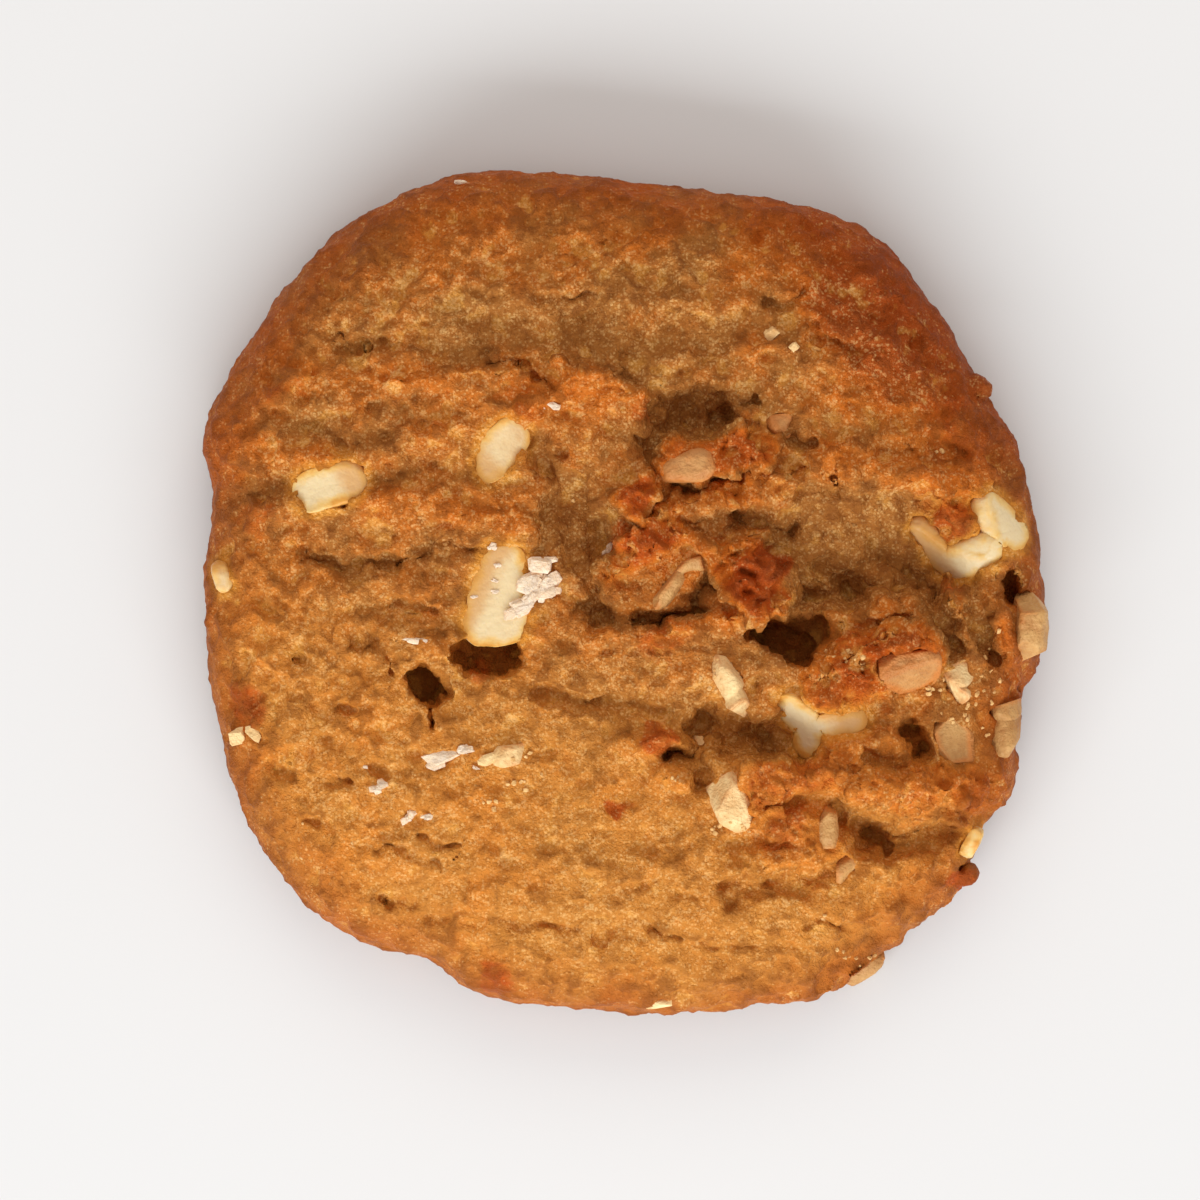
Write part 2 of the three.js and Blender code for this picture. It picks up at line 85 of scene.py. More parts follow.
# Crags: name, from, to, bow to the left, reach on the left and right, rise, edge (higher is flatter on top)
RIDGES = [
    ("upper left fold", (-23, 20.7), (-8, 19.9), 1.6, (0.8, 4), 1, 1),
    ("upper middle fold", (-5.3, 22), (3.6, 18.4), 0.8, (0.8, 4.5), 1.6, 1),
    ("long diagonal fold", (-30.5, 13), (-9.5, 18.7), -0.6, (1.6, 2.2), 0.7, 1),
    ("left shoulder", (-36.3, 19.7), (-31, 21.7), 0, (2, 3), 0.7, 1),
    ("left roll", (-39, 14.4), (-29.5, 13.7), 0, (1.6, 1.8), 0.6, 1),
    ("left bank", (-36.3, 8), (-15.5, 9.2), 0.6, (2.4, 3.4), 0.7, 1),
    ("left middle roll", (-30.5, 1.2), (-19.5, 0.7), 0, (0.9, 2.5), 0.5, 1),
    ("step plate", (-15.5, 6.8), (-9.5, 6.2), 0, (2, 2.2), 0.7, 3),
    ("shelf", (-24, -5.3), (-16.3, -6), 0, (2.5, 1.4), 0.9, 1),
    ("middle ledge", (-3.5, -3.8), (12, -1.8), -0.9, (0.9, 2.2), 1.6, 1),
    ("red ridge", (-2.5, 2.6), (3.2, 7.4), 0, (0.8, 3.6), 3.2, 2),
    ("shard cap", (4.4, 6), (10.4, 4), 0, (0.8, 1.8), 1.8, 2),
    ("scorched tip", (12, 1.7), (14.6, 0.3), 0, (3.4, 3.2), 4.2, 3),
    ("nut ridge", (4.8, 12.6), (13.4, 13.6), 0.4, (2.5, 2), 3.8, 2.5),
    ("second ridge", (6, 8.9), (16.5, 10.6), 0, (1.5, 2), 1.6, 2),
    ("small knob", (0.6, 9.2), (1.8, 10), 0, (1.9, 1.9), 3.2, 2),
    ("tongue", (11.7, 18), (16.5, 14.7), 0, (1.4, 1.5), 1.2, 1),
    ("yellow lump", (12.4, 24.2), (13.6, 24.6), 0, (1.5, 1.5), 0.9, 1),
    ("right fold", (19, 13.4), (34, 8.7), 0.9, (2.6, 2.6), 1.4, 1),
    ("right flap", (31, 7.4), (35.2, 6.4), 0, (2.2, 1.8), 1.6, 3),
    ("right lump", (25.8, 15.4), (28.8, 15.2), 0, (1.3, 1.5), 0.7, 1),
    ("nut mound", (20.5, -9.3), (29, -5.8), 0.6, (3.6, 3.8), 4.2, 2),
    ("mound brow", (25.5, -0.9), (28, -0.9), 0, (1.4, 1.8), 1.6, 2),
    ("spike", (32.4, 2.4), (32.8, -2), 0, (0.9, 0.9), 2, 1),
    ("rim strip", (37.5, -1.8), (39, -7.8), 0, (1.3, 1.3), 1.2, 1),
    ("lower ridge", (12.4, -19), (21.6, -17.6), 0.5, (1.7, 3), 3.4, 1.5),
    ("lower right ridge", (23.6, -19.8), (37, -20.3), 0.6, (2.8, 2.4), 3.3, 1.5),
    ("red lump", (12.6, -22.4), (18.4, -24.4), 0, (3, 1.5), 2.4, 1.5),
    ("pit edge", (0.4, -15), (5.2, -14.3), 0, (1.2, 1.5), 1, 1),
    ("pit tongue", (4.4, -18.8), (6.9, -18.3), 0, (1.3, 1.3), 1.2, 1),
    ("shelf arc", (-23.5, -27), (20.8, -26.4), -1.5, (3, 1.6), 0.6, 1),
    ("shelf end", (11, -27.2), (20.8, -26.2), 0, (2.2, 1), 1, 3),
    ("low plain", (-14.5, -30.6), (9, -32.2), 0.6, (2, 2), 0.5, 2),
    ("valley bank", (21, -16), (28.5, -14.6), 0, (2.2, 2), 1.2, 1),
]
HOLLOWS = [
    ("upper band", (-13.5, 25.7), (9.5, 24.7), 0.5, (3.6, 3.2), -1, 1),
    ("band crease", (-9, 29), (-3.4, 29.4), 0, (0.6, 0.6), -0.7, 1),
    ("fold line", (-13.4, 22.4), (-8.6, 21.2), 0.3, (0.8, 0.6), -0.8, 1),
    ("middle fold line", (-1, 22), (1.4, 21), 0, (0.8, 0.6), -0.8, 1),
    ("dark pocket", (4, 16.8), (9.6, 17.4), 0, (3.6, 1.8), -3.8, 1.5),
    ("pocket end", (2.3, 15.2), (3, 13), 0, (1.6, 1.6), -2, 1),
    ("chip hollow", (-8.6, 14.6), (-7.2, 12.8), 0, (2.3, 2.3), -2, 2),
    ("middle hollow", (-5.5, 9.2), (-2.8, 3.4), 0, (3.4, 3.6), -2.4, 1.5),
    ("left groove", (-29, 24.7), (-14, 24), 0, (1.8, 1.8), -0.6, 1),
    ("olive dip", (-25, 18.4), (-19.5, 19.4), 0, (1.8, 1.8), -0.6, 1),
    ("fold shadow", (-32.5, 16.2), (-22.5, 14.5), 0, (1.5, 1.5), -0.7, 1),
    ("chip side dip", (-24.5, 10.8), (-19.3, 12.8), 0, (1.8, 1.6), -1, 1),
    ("left rim dip", (-38.5, 9.2), (-34.5, 10.7), 0, (1.9, 1.9), -1.3, 1),
    ("long groove", (-31.6, 3.8), (-22.5, 2.7), -0.7, (1.4, 0.9), -1.3, 1),
    ("groove rise", (-22.5, 2.9), (-19.2, 5), 0, (0.8, 0.8), -0.9, 1),
    ("groove end", (-18, 4.2), (-15.2, 4.4), 0, (1.2, 1.2), -0.8, 1),
    ("shallow groove", (-22.7, -1.6), (-18.7, -2), 0, (0.9, 0.9), -0.7, 1),
    ("slant groove", (-27.4, -5.4), (-24.6, -4.4), 0, (0.7, 0.7), -0.8, 1),
    ("left pit", (-30.7, -11.6), (-28.3, -11.4), 0, (1.6, 1.6), -0.9, 1),
    ("left rim pit", (-38.7, -11.6), (-36.3, -11), 0, (1.6, 1.6), -0.9, 1),
    ("low left groove", (-33.7, -18.6), (-28, -19), 0, (0.9, 0.9), -0.9, 1),
    ("low left dip", (-25, -17.6), (-21.5, -17.8), 0, (1, 1), -0.7, 1),
    ("low left pit", (-31.4, -22.6), (-29.8, -22.8), 0, (1.1, 1.1), -0.8, 1),
    ("red crease", (-24.2, -25.8), (-18, -27.2), 0.2, (0.6, 0.6), -0.6, 1),
    ("short crease", (-20.4, -24.4), (-16.8, -25), 0, (0.6, 0.6), -0.6, 1),
    ("ledge hollow", (-3.4, -1), (-2.6, -2.2), 0, (1.6, 1.6), -2, 2),
    ("shard shadow", (1, -2.8), (7.5, -2.4), 0, (1.3, 0.9), -3, 1),
    ("shard side", (6.8, -0.8), (8.4, 0.8), 0, (1.6, 1.8), -2.2, 1),
    ("smooth hollow", (18.5, 0.2), (30.5, 1.2), 0, (11, 3), -5, 1),
    ("cave approach", (17.5, -2), (22, 0), 0, (2.2, 2.2), -1.4, 1),
    ("tip shadow", (11.5, 6.8), (16.5, 6.4), 0, (1.8, 1.4), -2.2, 1),
    ("nut dip", (16.5, 15.2), (18.5, 14.4), 0, (1.5, 1.5), -2, 1),
    ("small hole", (12, 18.6), (12.6, 18.8), 0, (0.8, 0.8), -1.6, 1),
    ("right upper groove", (13.9, 29), (17.4, 29), 0, (0.9, 0.9), -0.9, 1),
    ("right diagonal", (18.6, 26.4), (23.4, 23.4), 0, (1.3, 1.3), -1, 1),
    ("right flank", (30.4, 30.2), (39.2, 11.2), 1.2, (4.5, 3.2), -2.4, 1),
    ("right rim dip", (29.6, 24.4), (31.2, 23), 0, (1.5, 1.5), -1.2, 1),
    ("right dip", (30.5, 14.7), (33, 14.2), 0, (1.6, 1.6), -1, 1),
    ("valley", (7.5, -13.6), (16.5, -15.4), 0, (3.2, 2.8), -4.2, 1.5),
    ("centre dip", (-8.5, -10.3), (6.5, -11.3), 0, (2, 2), -1.3, 1),
    ("low centre dip", (-14.5, -19.3), (1.5, -18.8), 0, (1.6, 1.6), -0.3, 1),
    ("pit", (4.6, -16.2), (6, -16.6), 0, (1.4, 1.4), -4, 1),
    ("pit arm", (7.3, -15.8), (7.8, -19.3), 0, (1.4, 1.4), -3, 1),
    ("shard hollow", (22, -22), (25, -25.3), 0, (2.4, 2.4), -3.4, 1),
    ("right low hollow", (24.6, -23.4), (33, -23.8), 0, (0.9, 3), -2.2, 2),
    ("under shelf", (10, -29.2), (20.6, -27.8), 0, (0.9, 2.2), -1.2, 1.5),
    ("plain edge", (-12.4, -32.4), (-4.6, -33.4), 0, (0.5, 1), -0.5, 1),
    ("low crevice", (-2.6, -33.6), (5.8, -34.6), 0.4, (0.6, 1), -0.6, 1),
    ("low right crevice", (6.4, -34.6), (12.4, -35.4), 0, (0.5, 0.9), -0.5, 1),
    ("low left crevice", (-20.5, -31.8), (-13.5, -32.2), 0, (0.5, 0.9), -0.4, 1),
    ("short crevice", (-24, -30.4), (-21, -30.8), 0, (0.6, 0.6), -0.9, 1),
    ("right crevice", (18, -32.3), (22.3, -33.3), 0, (0.6, 0.6), -0.8, 1),
    ("mound shade", (31.2, -0.6), (33.2, -5.8), 0, (1.5, 1.5), -2.4, 1),
    ("nut crevice", (34.5, -0.8), (36.2, -5.3), 0, (1.6, 1.6), -2.4, 1),
    ("nut ridge crevice", (5, 10.2), (12.8, 12), 0, (0.6, 0.6), -1.3, 1),
]
# Pits and cracks, set out in the same way
PITS = [
    ("cave left", (13.9, -4.2), (16.5, -4.6), 0, (1.7, 1.6), -6.5, 4),
    ("cave low", (15.4, -5.1), (17.4, -5.9), 0, (2.2, 1.6), -6.5, 4),
    ("cave right", (16.8, -4.4), (19, -4.2), 0, (2.4, 1.9), -4.5, 2),
    ("chip cave", (-15.2, -6.5), (-12.2, -6.4), 0, (2.2, 1.7), -4.5, 4),
    ("round cave", (-19.9, -9.2), (-19.4, -9.7), 0, (1.9, 1.9), -5, 4),
    ("rim cave", (38.2, 1.6), (38.7, -0.6), 0, (1, 0.9), -4, 2),
    ("nut side", (28.4, -13.6), (29.4, -15.8), 0, (1.6, 1.5), -4, 2),
]
CRACKS = [
    ("hollow crack", (20.9, 12.2), (21.3, 9.2), 0.1, (0.3, 0.3), -0.9, 1),
    ("shelf crack", (-24, -6), (-23.3, -8.6), 0.2, (0.3, 0.3), -0.9, 1),
    ("step crack", (-8.5, 7.2), (-8.5, 5.2), 0, (0.35, 0.35), -0.9, 1),
    ("left crack", (-28.1, 25.6), (-25, 23.8), 0, (0.3, 0.3), -0.6, 1),
    ("ridge crack", (22.6, -18.2), (23, -20.2), 0, (0.35, 0.35), -0.8, 1),
    ("hollow side crack", (24.6, -21.2), (24.2, -24.6), 0.3, (0.35, 0.35), -0.8, 1),
    ("hole crack", (-19.9, -10.4), (-19.4, -13.8), 0.2, (0.5, 0.5), -2.4, 1),
    ("top crack", (-6.4, 33), (-3.6, 33.4), 0, (0.25, 0.25), -0.4, 1),
    ("upper crack", (-3.4, 34.9), (-2, 35.5), 0, (0.25, 0.25), -0.4, 1),
    ("low crack", (-16.4, -24.3), (-17.4, -26.8), 0, (0.25, 0.25), -0.5, 1),
    ("pin hole", (22.2, 6.6), (22.6, 6.2), 0, (0.3, 0.3), -0.8, 1),
    ("pin hole right", (28, 14.6), (28.2, 14.4), 0, (0.3, 0.3), -0.8, 1),
    ("pin hole left", (-31.5, -6.8), (-31.3, -6.6), 0, (0.3, 0.3), -0.8, 1),
]

# Notches in the rim: centre, half sizes, turn about z in degrees
NOTCHES = [
    ((40.6, -9.4, 8), (1.6, 0.7, 5), 10),
    ((34.9, -27.2, 8), (1.8, 0.6, 6), 20),
]
# Knobs on the flank: centre, half sizes, turn about z in degrees
KNOBS = [
    ((34.2, -28.4, 5.5), (1.3, 1, 1.6), 20),
    ((35.4, 20.4, 6.5), (1.4, 1.2, 1.6), -40),
]

# Scorched spots: centre, radius, strength
SCORCHES = [
    ((13.2, 1.4), 3.6, 1.0), ((14.6, 2.6), 2.2, 1.2), ((14.6, -1), 2, 0.7), ((1.2, 9.6), 1.9, 0.9),
    ((1, 4.6), 3, 0.7), ((4, 5.6), 1.6, 0.6), ((3.6, -14.4), 2.2, 0.8), ((14.5, -19.4), 3, 0.55),
    ((18, -18.4), 2.6, 0.5), ((16, -23), 2.6, 0.5), ((-0.5, -21.7), 1.2, 0.9), ((-13, -38.6), 2.4, 0.7),
    ((34.2, -28.4), 2, 0.9), ((32.5, 7.4), 2.4, 0.7), ((23, -5.5), 3, 0.6), ((24.5, -9), 2.6, 0.5),
    ((29, -20.6), 3.4, 0.35), ((34.6, -20), 2.6, 0.4), ((32.6, 0.4), 1.4, 0.6), ((3.6, -4.8), 3, 0.5),
    ((-14, -7.6), 1.6, 0.6), ((-37.6, -11.5), 2.4, 0.6), ((32, 16.5), 4, 0.4), ((-33.5, 20), 2.6, 0.4),
    ((-10.5, 18.5), 3.4, 0.4), ((1.8, 18), 2, 0.5), ((-36.5, 7.5), 2.6, 0.4),
]

# Browning of broad parts, partly painted shade on the top and right edges that face away from the key lamp
# and partly painted light on the lower part: centre, radius, strength (below zero is paler and yellower)
BROWNING_AND_PAINTED_LIGHT = [
    ((-4, -32), 10, -0.8), ((10, -33), 9, -0.7), ((-20, -28), 8, -0.4), ((-24, -2), 10, -0.4),
    ((22, 6), 9, -0.7), ((-4, 6), 5, -0.6), ((2, 27), 9, -0.5), ((-14, 26), 6, -0.4),
    ((9, -14), 6, -0.6), ((-6, -12), 7, -0.4), ((28, 26), 11, 1.3), ((20, 35), 10, 0.9),
    ((0, 40), 9, 0.5), ((-16, 38), 9, 0.5), ((-30, 32), 8, -0.2), ((-38, 12), 6, 0.3),
    ((-39, -4), 6, 0.2), ((28, 11), 5, 0.5), ((-8, 19), 5, 0.4), ((3, 5), 5, 0.5),
    ((24, -7), 5, 0.5), ((16, -20), 6, 0.1), ((37, 16), 8, 0.9), ((15, -25.6), 4, 0.7),
    ((15, -30), 4, -0.6), ((27, -25), 4, -0.6),
]

# Crumb: size and rise of the wrinkles, then size, rise, how far calm places hold them back and seed of the
# granules scattered on them
WRINKLE_SIZE = 2.6
WRINKLE_RISE = 0.85
GRANULES = [(2.4, 0.75, 0.6, 22), (1.3, 0.75, 0.5, 23), (0.75, 0.44, 0.25, 27)]
WRINKLE_CALM = 0.75  # how far calm places hold the wrinkles back
WRINKLE_MEAN = 0.25  # about the mean height of the wrinkles before they are scaled
GRANULE_MEAN = 0.35  # and of the granules
GRANULE_LEAST = 0.25  # size of the smallest granule beside the largest
GRANULE_BASE = 0.3  # squared reach of a granule of no size
GRANULE_GROWTH = 0.5  # and how it grows with size
DRAW_MIX = np.array([7.3, 3.7, 5.1])  # makes one more draw of a cell's three
WOBBLE = 0.5  # how far the crumb is pulled about
WOBBLE_SIZE = 2.4

# Calm places, where the crumb is held back: how far, and from where to where this grows
HOLLOW_CALM = 0.15
HOLLOW_RELIEF = (0.0, -2.0)
LOWER_CALM = 0.5
LOWER_Y = (-10, -22)
RIM_CALM = 0.4
RIM_SHARES = (0.9, 1.0)
UPPER_RIM_CALM = 0.3
UPPER_Y = (0, 25)
OUTLINE_CALM = 0.5
OUTLINE_SHARES = (0.93, 1.0)
CHUNK_CALM = 0.7
CHUNK_CALM_REACH = 1.2
FOOT_CALM_HEIGHT = 1.5
RIDGE_ROUGHNESS = 1.1  # how much higher the crumb stands on the crags
RIDGE_RELIEF = (0.5, 2.5)

# Waves of the flank, stronger at the lower right
FLANK_WAVE = 0.45
FLANK_WAVE_SIZE = np.array([4.2, 4.2, 2.4])
FLANK_SHARES = (0.8, 0.95)  # shares of the radius between which they begin
RAGGED_WAVE = 0.8
RAGGED_WAVE_SIZE = 2.2
RAGGED_ASIDE = (34, 52)  # x - y between which these begin
RAGGED_BELOW = (2, -8)  # and y
WALL_WAVE = 0.35  # waves of the walls of notches and knobs
WALL_WAVE_SIZE = 1.6
WALL_MARGIN = 2.0  # how far past a notch or knob its walls are worked out

# Mesh of the dough
VOXEL = 0.26
FIELD_HALF = 44.0
FIELD_TOP = 20.5
LAYERS_BELOW = 4  # layers of the grid below the floor
MIDDLE_SHARE = 0.2  # least share of the radius divided by; leaves a small dimple in the underside
BAND = 1.6  # distance from the surface within which the flank is waved, and the grid's value beyond it
DOUGH_TRIANGLES = 194000

# Chunks in the dough
CHUNK_SINK = 0.4  # how far the dough lies below the face of a chunk that it holds
CHUNK_BURY = 1.5  # how deep a chunk's face may lie under the dough and still be laid bare
CHUNK_INSET = 0.45  # how far the dough laps over a chunk
CHUNK_BANK = 0.9  # steepness of the dough round a chunk
CHUNK_LIP = 0.15  # height of that lap
CHUNK_DIG = 2.5  # how far the dough may be lowered at a chunk
CHUNK_REACH = 3.0  # distance at which that ends
CHUNK_FRAY = 1.2  # share by which the lap comes and goes
CHUNK_FRAY_SIZE = 1.3
CHUNK_LAP_WAYS = 8  # directions in which the lap is measured
CHUNK_SUNK = 0.1  # how far a level chunk lies below the dough
CHUNK_VOXEL = 0.2
CHUNK_WAVES = [(1.5, 0.16, 31), (0.6, 0.06, 32)]  # wavelength, size and seed
CHIP_SMOOTHING = 2
CHIP_SWELL = 0.5
CHIP_FACES = 0  # broken faces
NUT_SMOOTHING = 1
NUT_SWELL = 0.25
SWELLS = {"nut_foot": 0.6, "white_chip_rim": -0.4, "white_chip_edge": 0.1}  # where it isn't as above
NUT_FACES = 8
FACE_LEAN = 0.6  # below 1 the broken faces stand more upright
FACE_CUTS = (0.6, 0.88)  # least and greatest share of the way out at which they lie
PROBE_DEPTH = 0.3  # depth under a face at which its edge is looked for
PROBE_WAYS = 10
CREAM_NUTS = ("nut_low", "nut_small", "nut_cream", "nut_crumbly")
BROWN_NUTS = ("nut_speck", "nut_upper", "nut_flat")
LEVEL_CHUNKS = (
    "white_chip_left", "white_chip_upper", "white_chip_middle", "white_chip_right", "white_chip_low",
    "nut_flat", "nut_right", "nut_speck",
)

# Way in x and y in which a thin veil of dough thickens over a chip, and its least share
CHIP_VEILS = {
    "white_chip_left": (1, 0.35, 0.1),
    "white_chip_upper": (-0.6, -0.8, 0.4),
    "white_chip_middle": (-1, 0.5, 0.1),
    "white_chip_right": (-1, 0.2, 0),
    "white_chip_low": (0.9, 0.45, 0),
    "white_chip_edge": (-0.3, 1, 0.3),
}
VEIL_SPAN = (0.3, 0.92)  # shares of a chip's points between which the veil thickens
VEIL_LEAST = 0.1  # keeps that span from being nothing

# Numbers for the dough's material
MELT_REACH = 1.8  # how far a chip's melt spreads in the dough
SCORCH_CORE = 1.7  # the higher, the more of a spot has its full strength
LOWER_LIGHT_SLANT = 0.25  # lean of the line below which the dough is painted paler, as painted light on the side that faces the key lamp
LOWER_LIGHT_DROP = (-8, 26)  # between which it does so
DEEPEST_HOLE = 9.0

# Flakes and crumbs that lie on the dough: centre, half sizes, turn about z in degrees
WHITE_FLAKES = [
    ((-8.4, 2.6), (1.6, 1.1), 0), ((-9.5, 0.9), (1.8, 1.1), 25), ((-7.2, 1), (1.6, 1.1), 50),
    ((-8, -0.1), (1.6, 0.9), 10), ((-10.1, -1.6), (1.7, 1.1), 22), ((-9.2, -0.7), (1.2, 0.8), 50),
    ((-18.2, -16.3), (2.8, 1.1), 20), ((-15.9, -15.6), (1, 0.6), 15), ((-24.2, -19.4), (1, 0.7), 10),
    ((-21.6, -22.6), (1.1, 0.5), 30), ((-21.2, -22.1), (0.6, 0.7), 0), ((-19.3, -22.3), (0.9, 0.4), 15),
    ((-20.5, -4.9), (1.6, 0.4), -6), ((-16.3, 40.8), (0.8, 0.4), 0), ((-7.2, 18.5), (1.1, 0.5), -15),
    ((-1.5, 4.3), (0.8, 0.5), 35), ((-13.1, 4.6), (0.5, 0.4), 0), ((-14.8, -17.5), (0.5, 0.3), -30),
    ((-12.6, 2.6), (0.4, 0.3), 20), ((-12.8, 1.1), (0.4, 0.2), -20), ((-14.9, -0.5), (0.5, 0.2), 10),
    ((-12.8, 0), (0.5, 0.25), 5), ((-25.8, -17.4), (0.3, 0.25), 0),
]
NUT_BITS = [
    ((-38.8, -14.5), (1.1, 1.0), 20), ((-36.9, -14.1), (1.2, 0.7), -45), ((3.4, -41.1), (1.7, 0.5), 5),
    ((-13.7, -16.6), (1.1, 0.6), 25), ((7.4, -15), (0.8, 0.8), 0), ((14.6, 25.6), (0.9, 0.7), 40),
    ((16.8, 24.3), (0.6, 0.5), 30),
]
SHARD_POINTS = 16  # corners from which a flake or crumb is made
SHARD_BOXINESS = 0.7  # 1 is round, lower is boxier
CLUMP_SIZES = (0.4, 0.7)  # least and greatest size of the shards grown on to one
CLUMP_SPREAD = 0.65  # how far out these sit
CLUMP_FLATNESS = 0.4  # and how far up and down beside that
CLUMP_SHRINK = 0.06  # how much each of them takes off the first one
SEED_STEP = 100  # between the seeds of a clump's shards
BIT_SEED = 60
BIT_UPRIGHT = 0.75  # 1 lays a bit level, 0 along the surface
BIT_RISE = 0.4  # share of a bit's thickness by which it is lifted
WELL_INSIDE = 2.0  # a bit's distance in from the edge, for the nut's material
CRUMB_SEED = 7
CRUMB_SIZES = (0.13, 0.34)
CRUMB_SHAPES = (0.7, 1)  # width of a crumb beside its length
# Crumbs: middle of a cluster, its spread, count
CRUMB_CLUSTERS = [
    ((-10.3, -19), (0.7, 0.5), 5), ((-12.8, -20.8), (0.8, 0.3), 4), ((22.5, -6.4), (1.6, 0.6), 12),
    ((31.3, 13.9), (0.4, 0.3), 2), ((-4.9, 9), (0.2, 0.2), 1), ((23, -36.3), (1.4, 0.5), 8),
    ((5.3, -18.4), (0.4, 0.3), 3), ((19.8, -32.2), (0.3, 0.3), 2), ((12, -23.6), (0.8, 0.3), 4),
    ((33.4, -12.2), (0.9, 0.5), 6), ((35, -10), (1.4, 0.8), 10), ((30.5, -9.4), (1.2, 0.8), 9),
    ((36.2, -14.2), (0.5, 0.5), 3), ((8.6, -8.2), (1.2, 0.8), 8), ((9.2, -23.4), (1.2, 0.5), 5),
    ((-29.8, -25.6), (2, 1), 3), ((36.4, -4.6), (0.8, 2), 5), ((-9.5, -17), (2, 1), 4),
]

# Studio, in metres
FLOOR_HALF = 2.0
WORLD_COLOUR = (0.985, 0.935, 0.91, 1.0)
WORLD_STRENGTH = 0.6
# Lamps: name, size, energy, colour, place
LAMPS = [
    ("key", (2.4, 0.6), 26.5, (0.94, 1.0, 1.03), (-0.1, -1.2, 0.74)),
    ("warm_fill", (1.2, 0.6), 2.9, (1.0, 0.84, 0.7), (0, 0.9, 0.8)),
]
CAMERA_PLACE = (-2.45 * MM, -0.8 * MM, 1.2)
FRAME_WIDTH = 120 * MM
FRAME_LEVEL = 6 * MM  # height at which the picture is as wide as that
SENSOR_WIDTH = 36


def scramble(h, shift, factor):
    """One round of mixing of numbers of 32 bits, by a large odd factor."""
    return ((h ^ (h >> shift)) * factor) & 0xFFFFFFFF


def lattice(column, row, seed):
    """Repeatable random numbers from 0 to 1 for lattice points."""
    h = column.astype(np.int64) * 374761393 + row.astype(np.int64) * 668265263 + seed * 974711
    h = scramble((h & 0xFFFFFFFF).astype(np.uint64), 13, 1274126177)
    return (h ^ (h >> 16)).astype(float) / 2**32


def ease(t):
    return t * t * t * (t * (t * 6 - 15) + 10)


def ramp(value, low, high):
    """0 at low, 1 at high, eased and clamped."""
    return ease(np.clip((value - low) / (high - low), 0, 1))


def noise2(x, y, seed):
    """Smooth noise of about -1 to 1 over a plane, from gradients on a lattice of step 1."""
    column, row = np.floor(x), np.floor(y)
    fx, fy = x - column, y - row

    def corner(i, j):
        turn = lattice(column + i, row + j, seed) * 2 * np.pi
        return np.cos(turn) * (fx - i) + np.sin(turn) * (fy - j)

    low = corner(0, 0) + ease(fx) * (corner(1, 0) - corner(0, 0))
    high = corner(0, 1) + ease(fx) * (corner(1, 1) - corner(0, 1))
    return 1.4 * (low + ease(fy) * (high - low))


def cell_draws(cells, seed):
    """Three repeatable random numbers from 0 to 1 for each cell of a lattice in space."""
    at = cells.astype(np.uint64)
    h = at[:, 0] * 73856093 ^ at[:, 1] * 19349663 ^ at[:, 2] * 83492791
    h = scramble((h + seed * 7919) & 0xFFFFFFFF, 15, 2246822519)
    h = scramble(h, 13, 3266489917)
    h ^= h >> 16
    parts = [(h >> 10 * k) & 1023 for k in range(3)]
    return np.stack(parts, axis=1).astype(float) / 1023


def noise3(points, seed):
    """Smooth noise of about -1 to 1 in space."""
    cell = np.floor(points).astype(np.int64)
    inside = points - cell
    weight = ease(inside)
    total = np.zeros(len(points))
    for corner in itertools.product((0, 1), repeat=3):
        slope = np.sum((2 * cell_draws(cell + corner, seed) - 1) * (inside - corner), axis=1)
        total += slope * np.prod(np.where(np.array(corner) == 1, weight, 1 - weight), axis=1)
    return 1.3 * total


def rim_table():
    """Angles and radii along the closed curve through the rim's points."""
    here = np.array(RIM, float)
    before, after, last = np.roll(here, 1, 0), np.roll(here, -1, 0), np.roll(here, -2, 0)
    t = np.linspace(0, 1, RIM_STEPS, endpoint=False)[None, :, None]
    a, b, c, d = (p[:, None, :] for p in (before, here, after, last))
    curve = 0.5 * (2 * b + (c - a) * t + (2 * a - 5 * b + 4 * c - d) * t**2 + (3 * b - a - 3 * c + d) * t**3)
    curve = curve.reshape(-1, 2)
    angle = np.arctan2(curve[:, 1], curve[:, 0])
    order = np.argsort(angle)
    return angle[order], np.hypot(curve[:, 0], curve[:, 1])[order]


RIM_ANGLES, RIM_RADII = rim_table()


def rim_share(x, y):
    """Distance from the middle as a share of the rim's radius there."""
    return np.hypot(x, y) / np.interp(np.arctan2(y, x), RIM_ANGLES, RIM_RADII, period=2 * np.pi)


def crag_heights(x, y, crags):
    """Height of each of some crags."""
    for _, (x0, y0), (x1, y1), bow, (left, right), rise, edge in crags:
        dx, dy = x1 - x0, y1 - y0
        length = math.hypot(dx, dy)
        along = ((x - x0) * dx + (y - y0) * dy) / length
        share = np.clip(along / length, 0, 1)
        past = along - share * length
        side = ((y - y0) * dx - (x - x0) * dy) / length - bow * 4 * share * (1 - share)
        away = (side / np.where(side > 0, left, right))**2 + (past * 2 / (left + right))**2
        yield rise * (1 - np.clip(away, 0, 1)**edge)**(STEEP_FOOT if edge >= FLAT_TOP else SOFT_FOOT)


def wander(x, y):
    """Place from which a point takes its crags, which makes their edges ragged."""
    wander_x, wander_y = x.copy(), y.copy()
    for index, (length, size) in enumerate([(WARP_LENGTH, WARP)] + TEARS):
        wander_x += size * noise2(x / length, y / length, 5 + 2 * index)
        wander_y += size * noise2(x / length, y / length, 6 + 2 * index)
    return wander_x, wander_y


def relief(x, y):
    """Height over the smooth dome."""
    across = y / np.sqrt(1 - (x / FOLD_SPAN)**2)
    folds = FOLD_RISE * noise2(x / FOLD_LENGTH, across / FOLD_WIDTH, 1)
    uneven = 1 + UNEVEN * noise2(x / UNEVEN_SIZE, y / UNEVEN_SIZE, 9)
    return folds + uneven * sum(crag_heights(*wander(x, y), RIDGES + HOLLOWS))


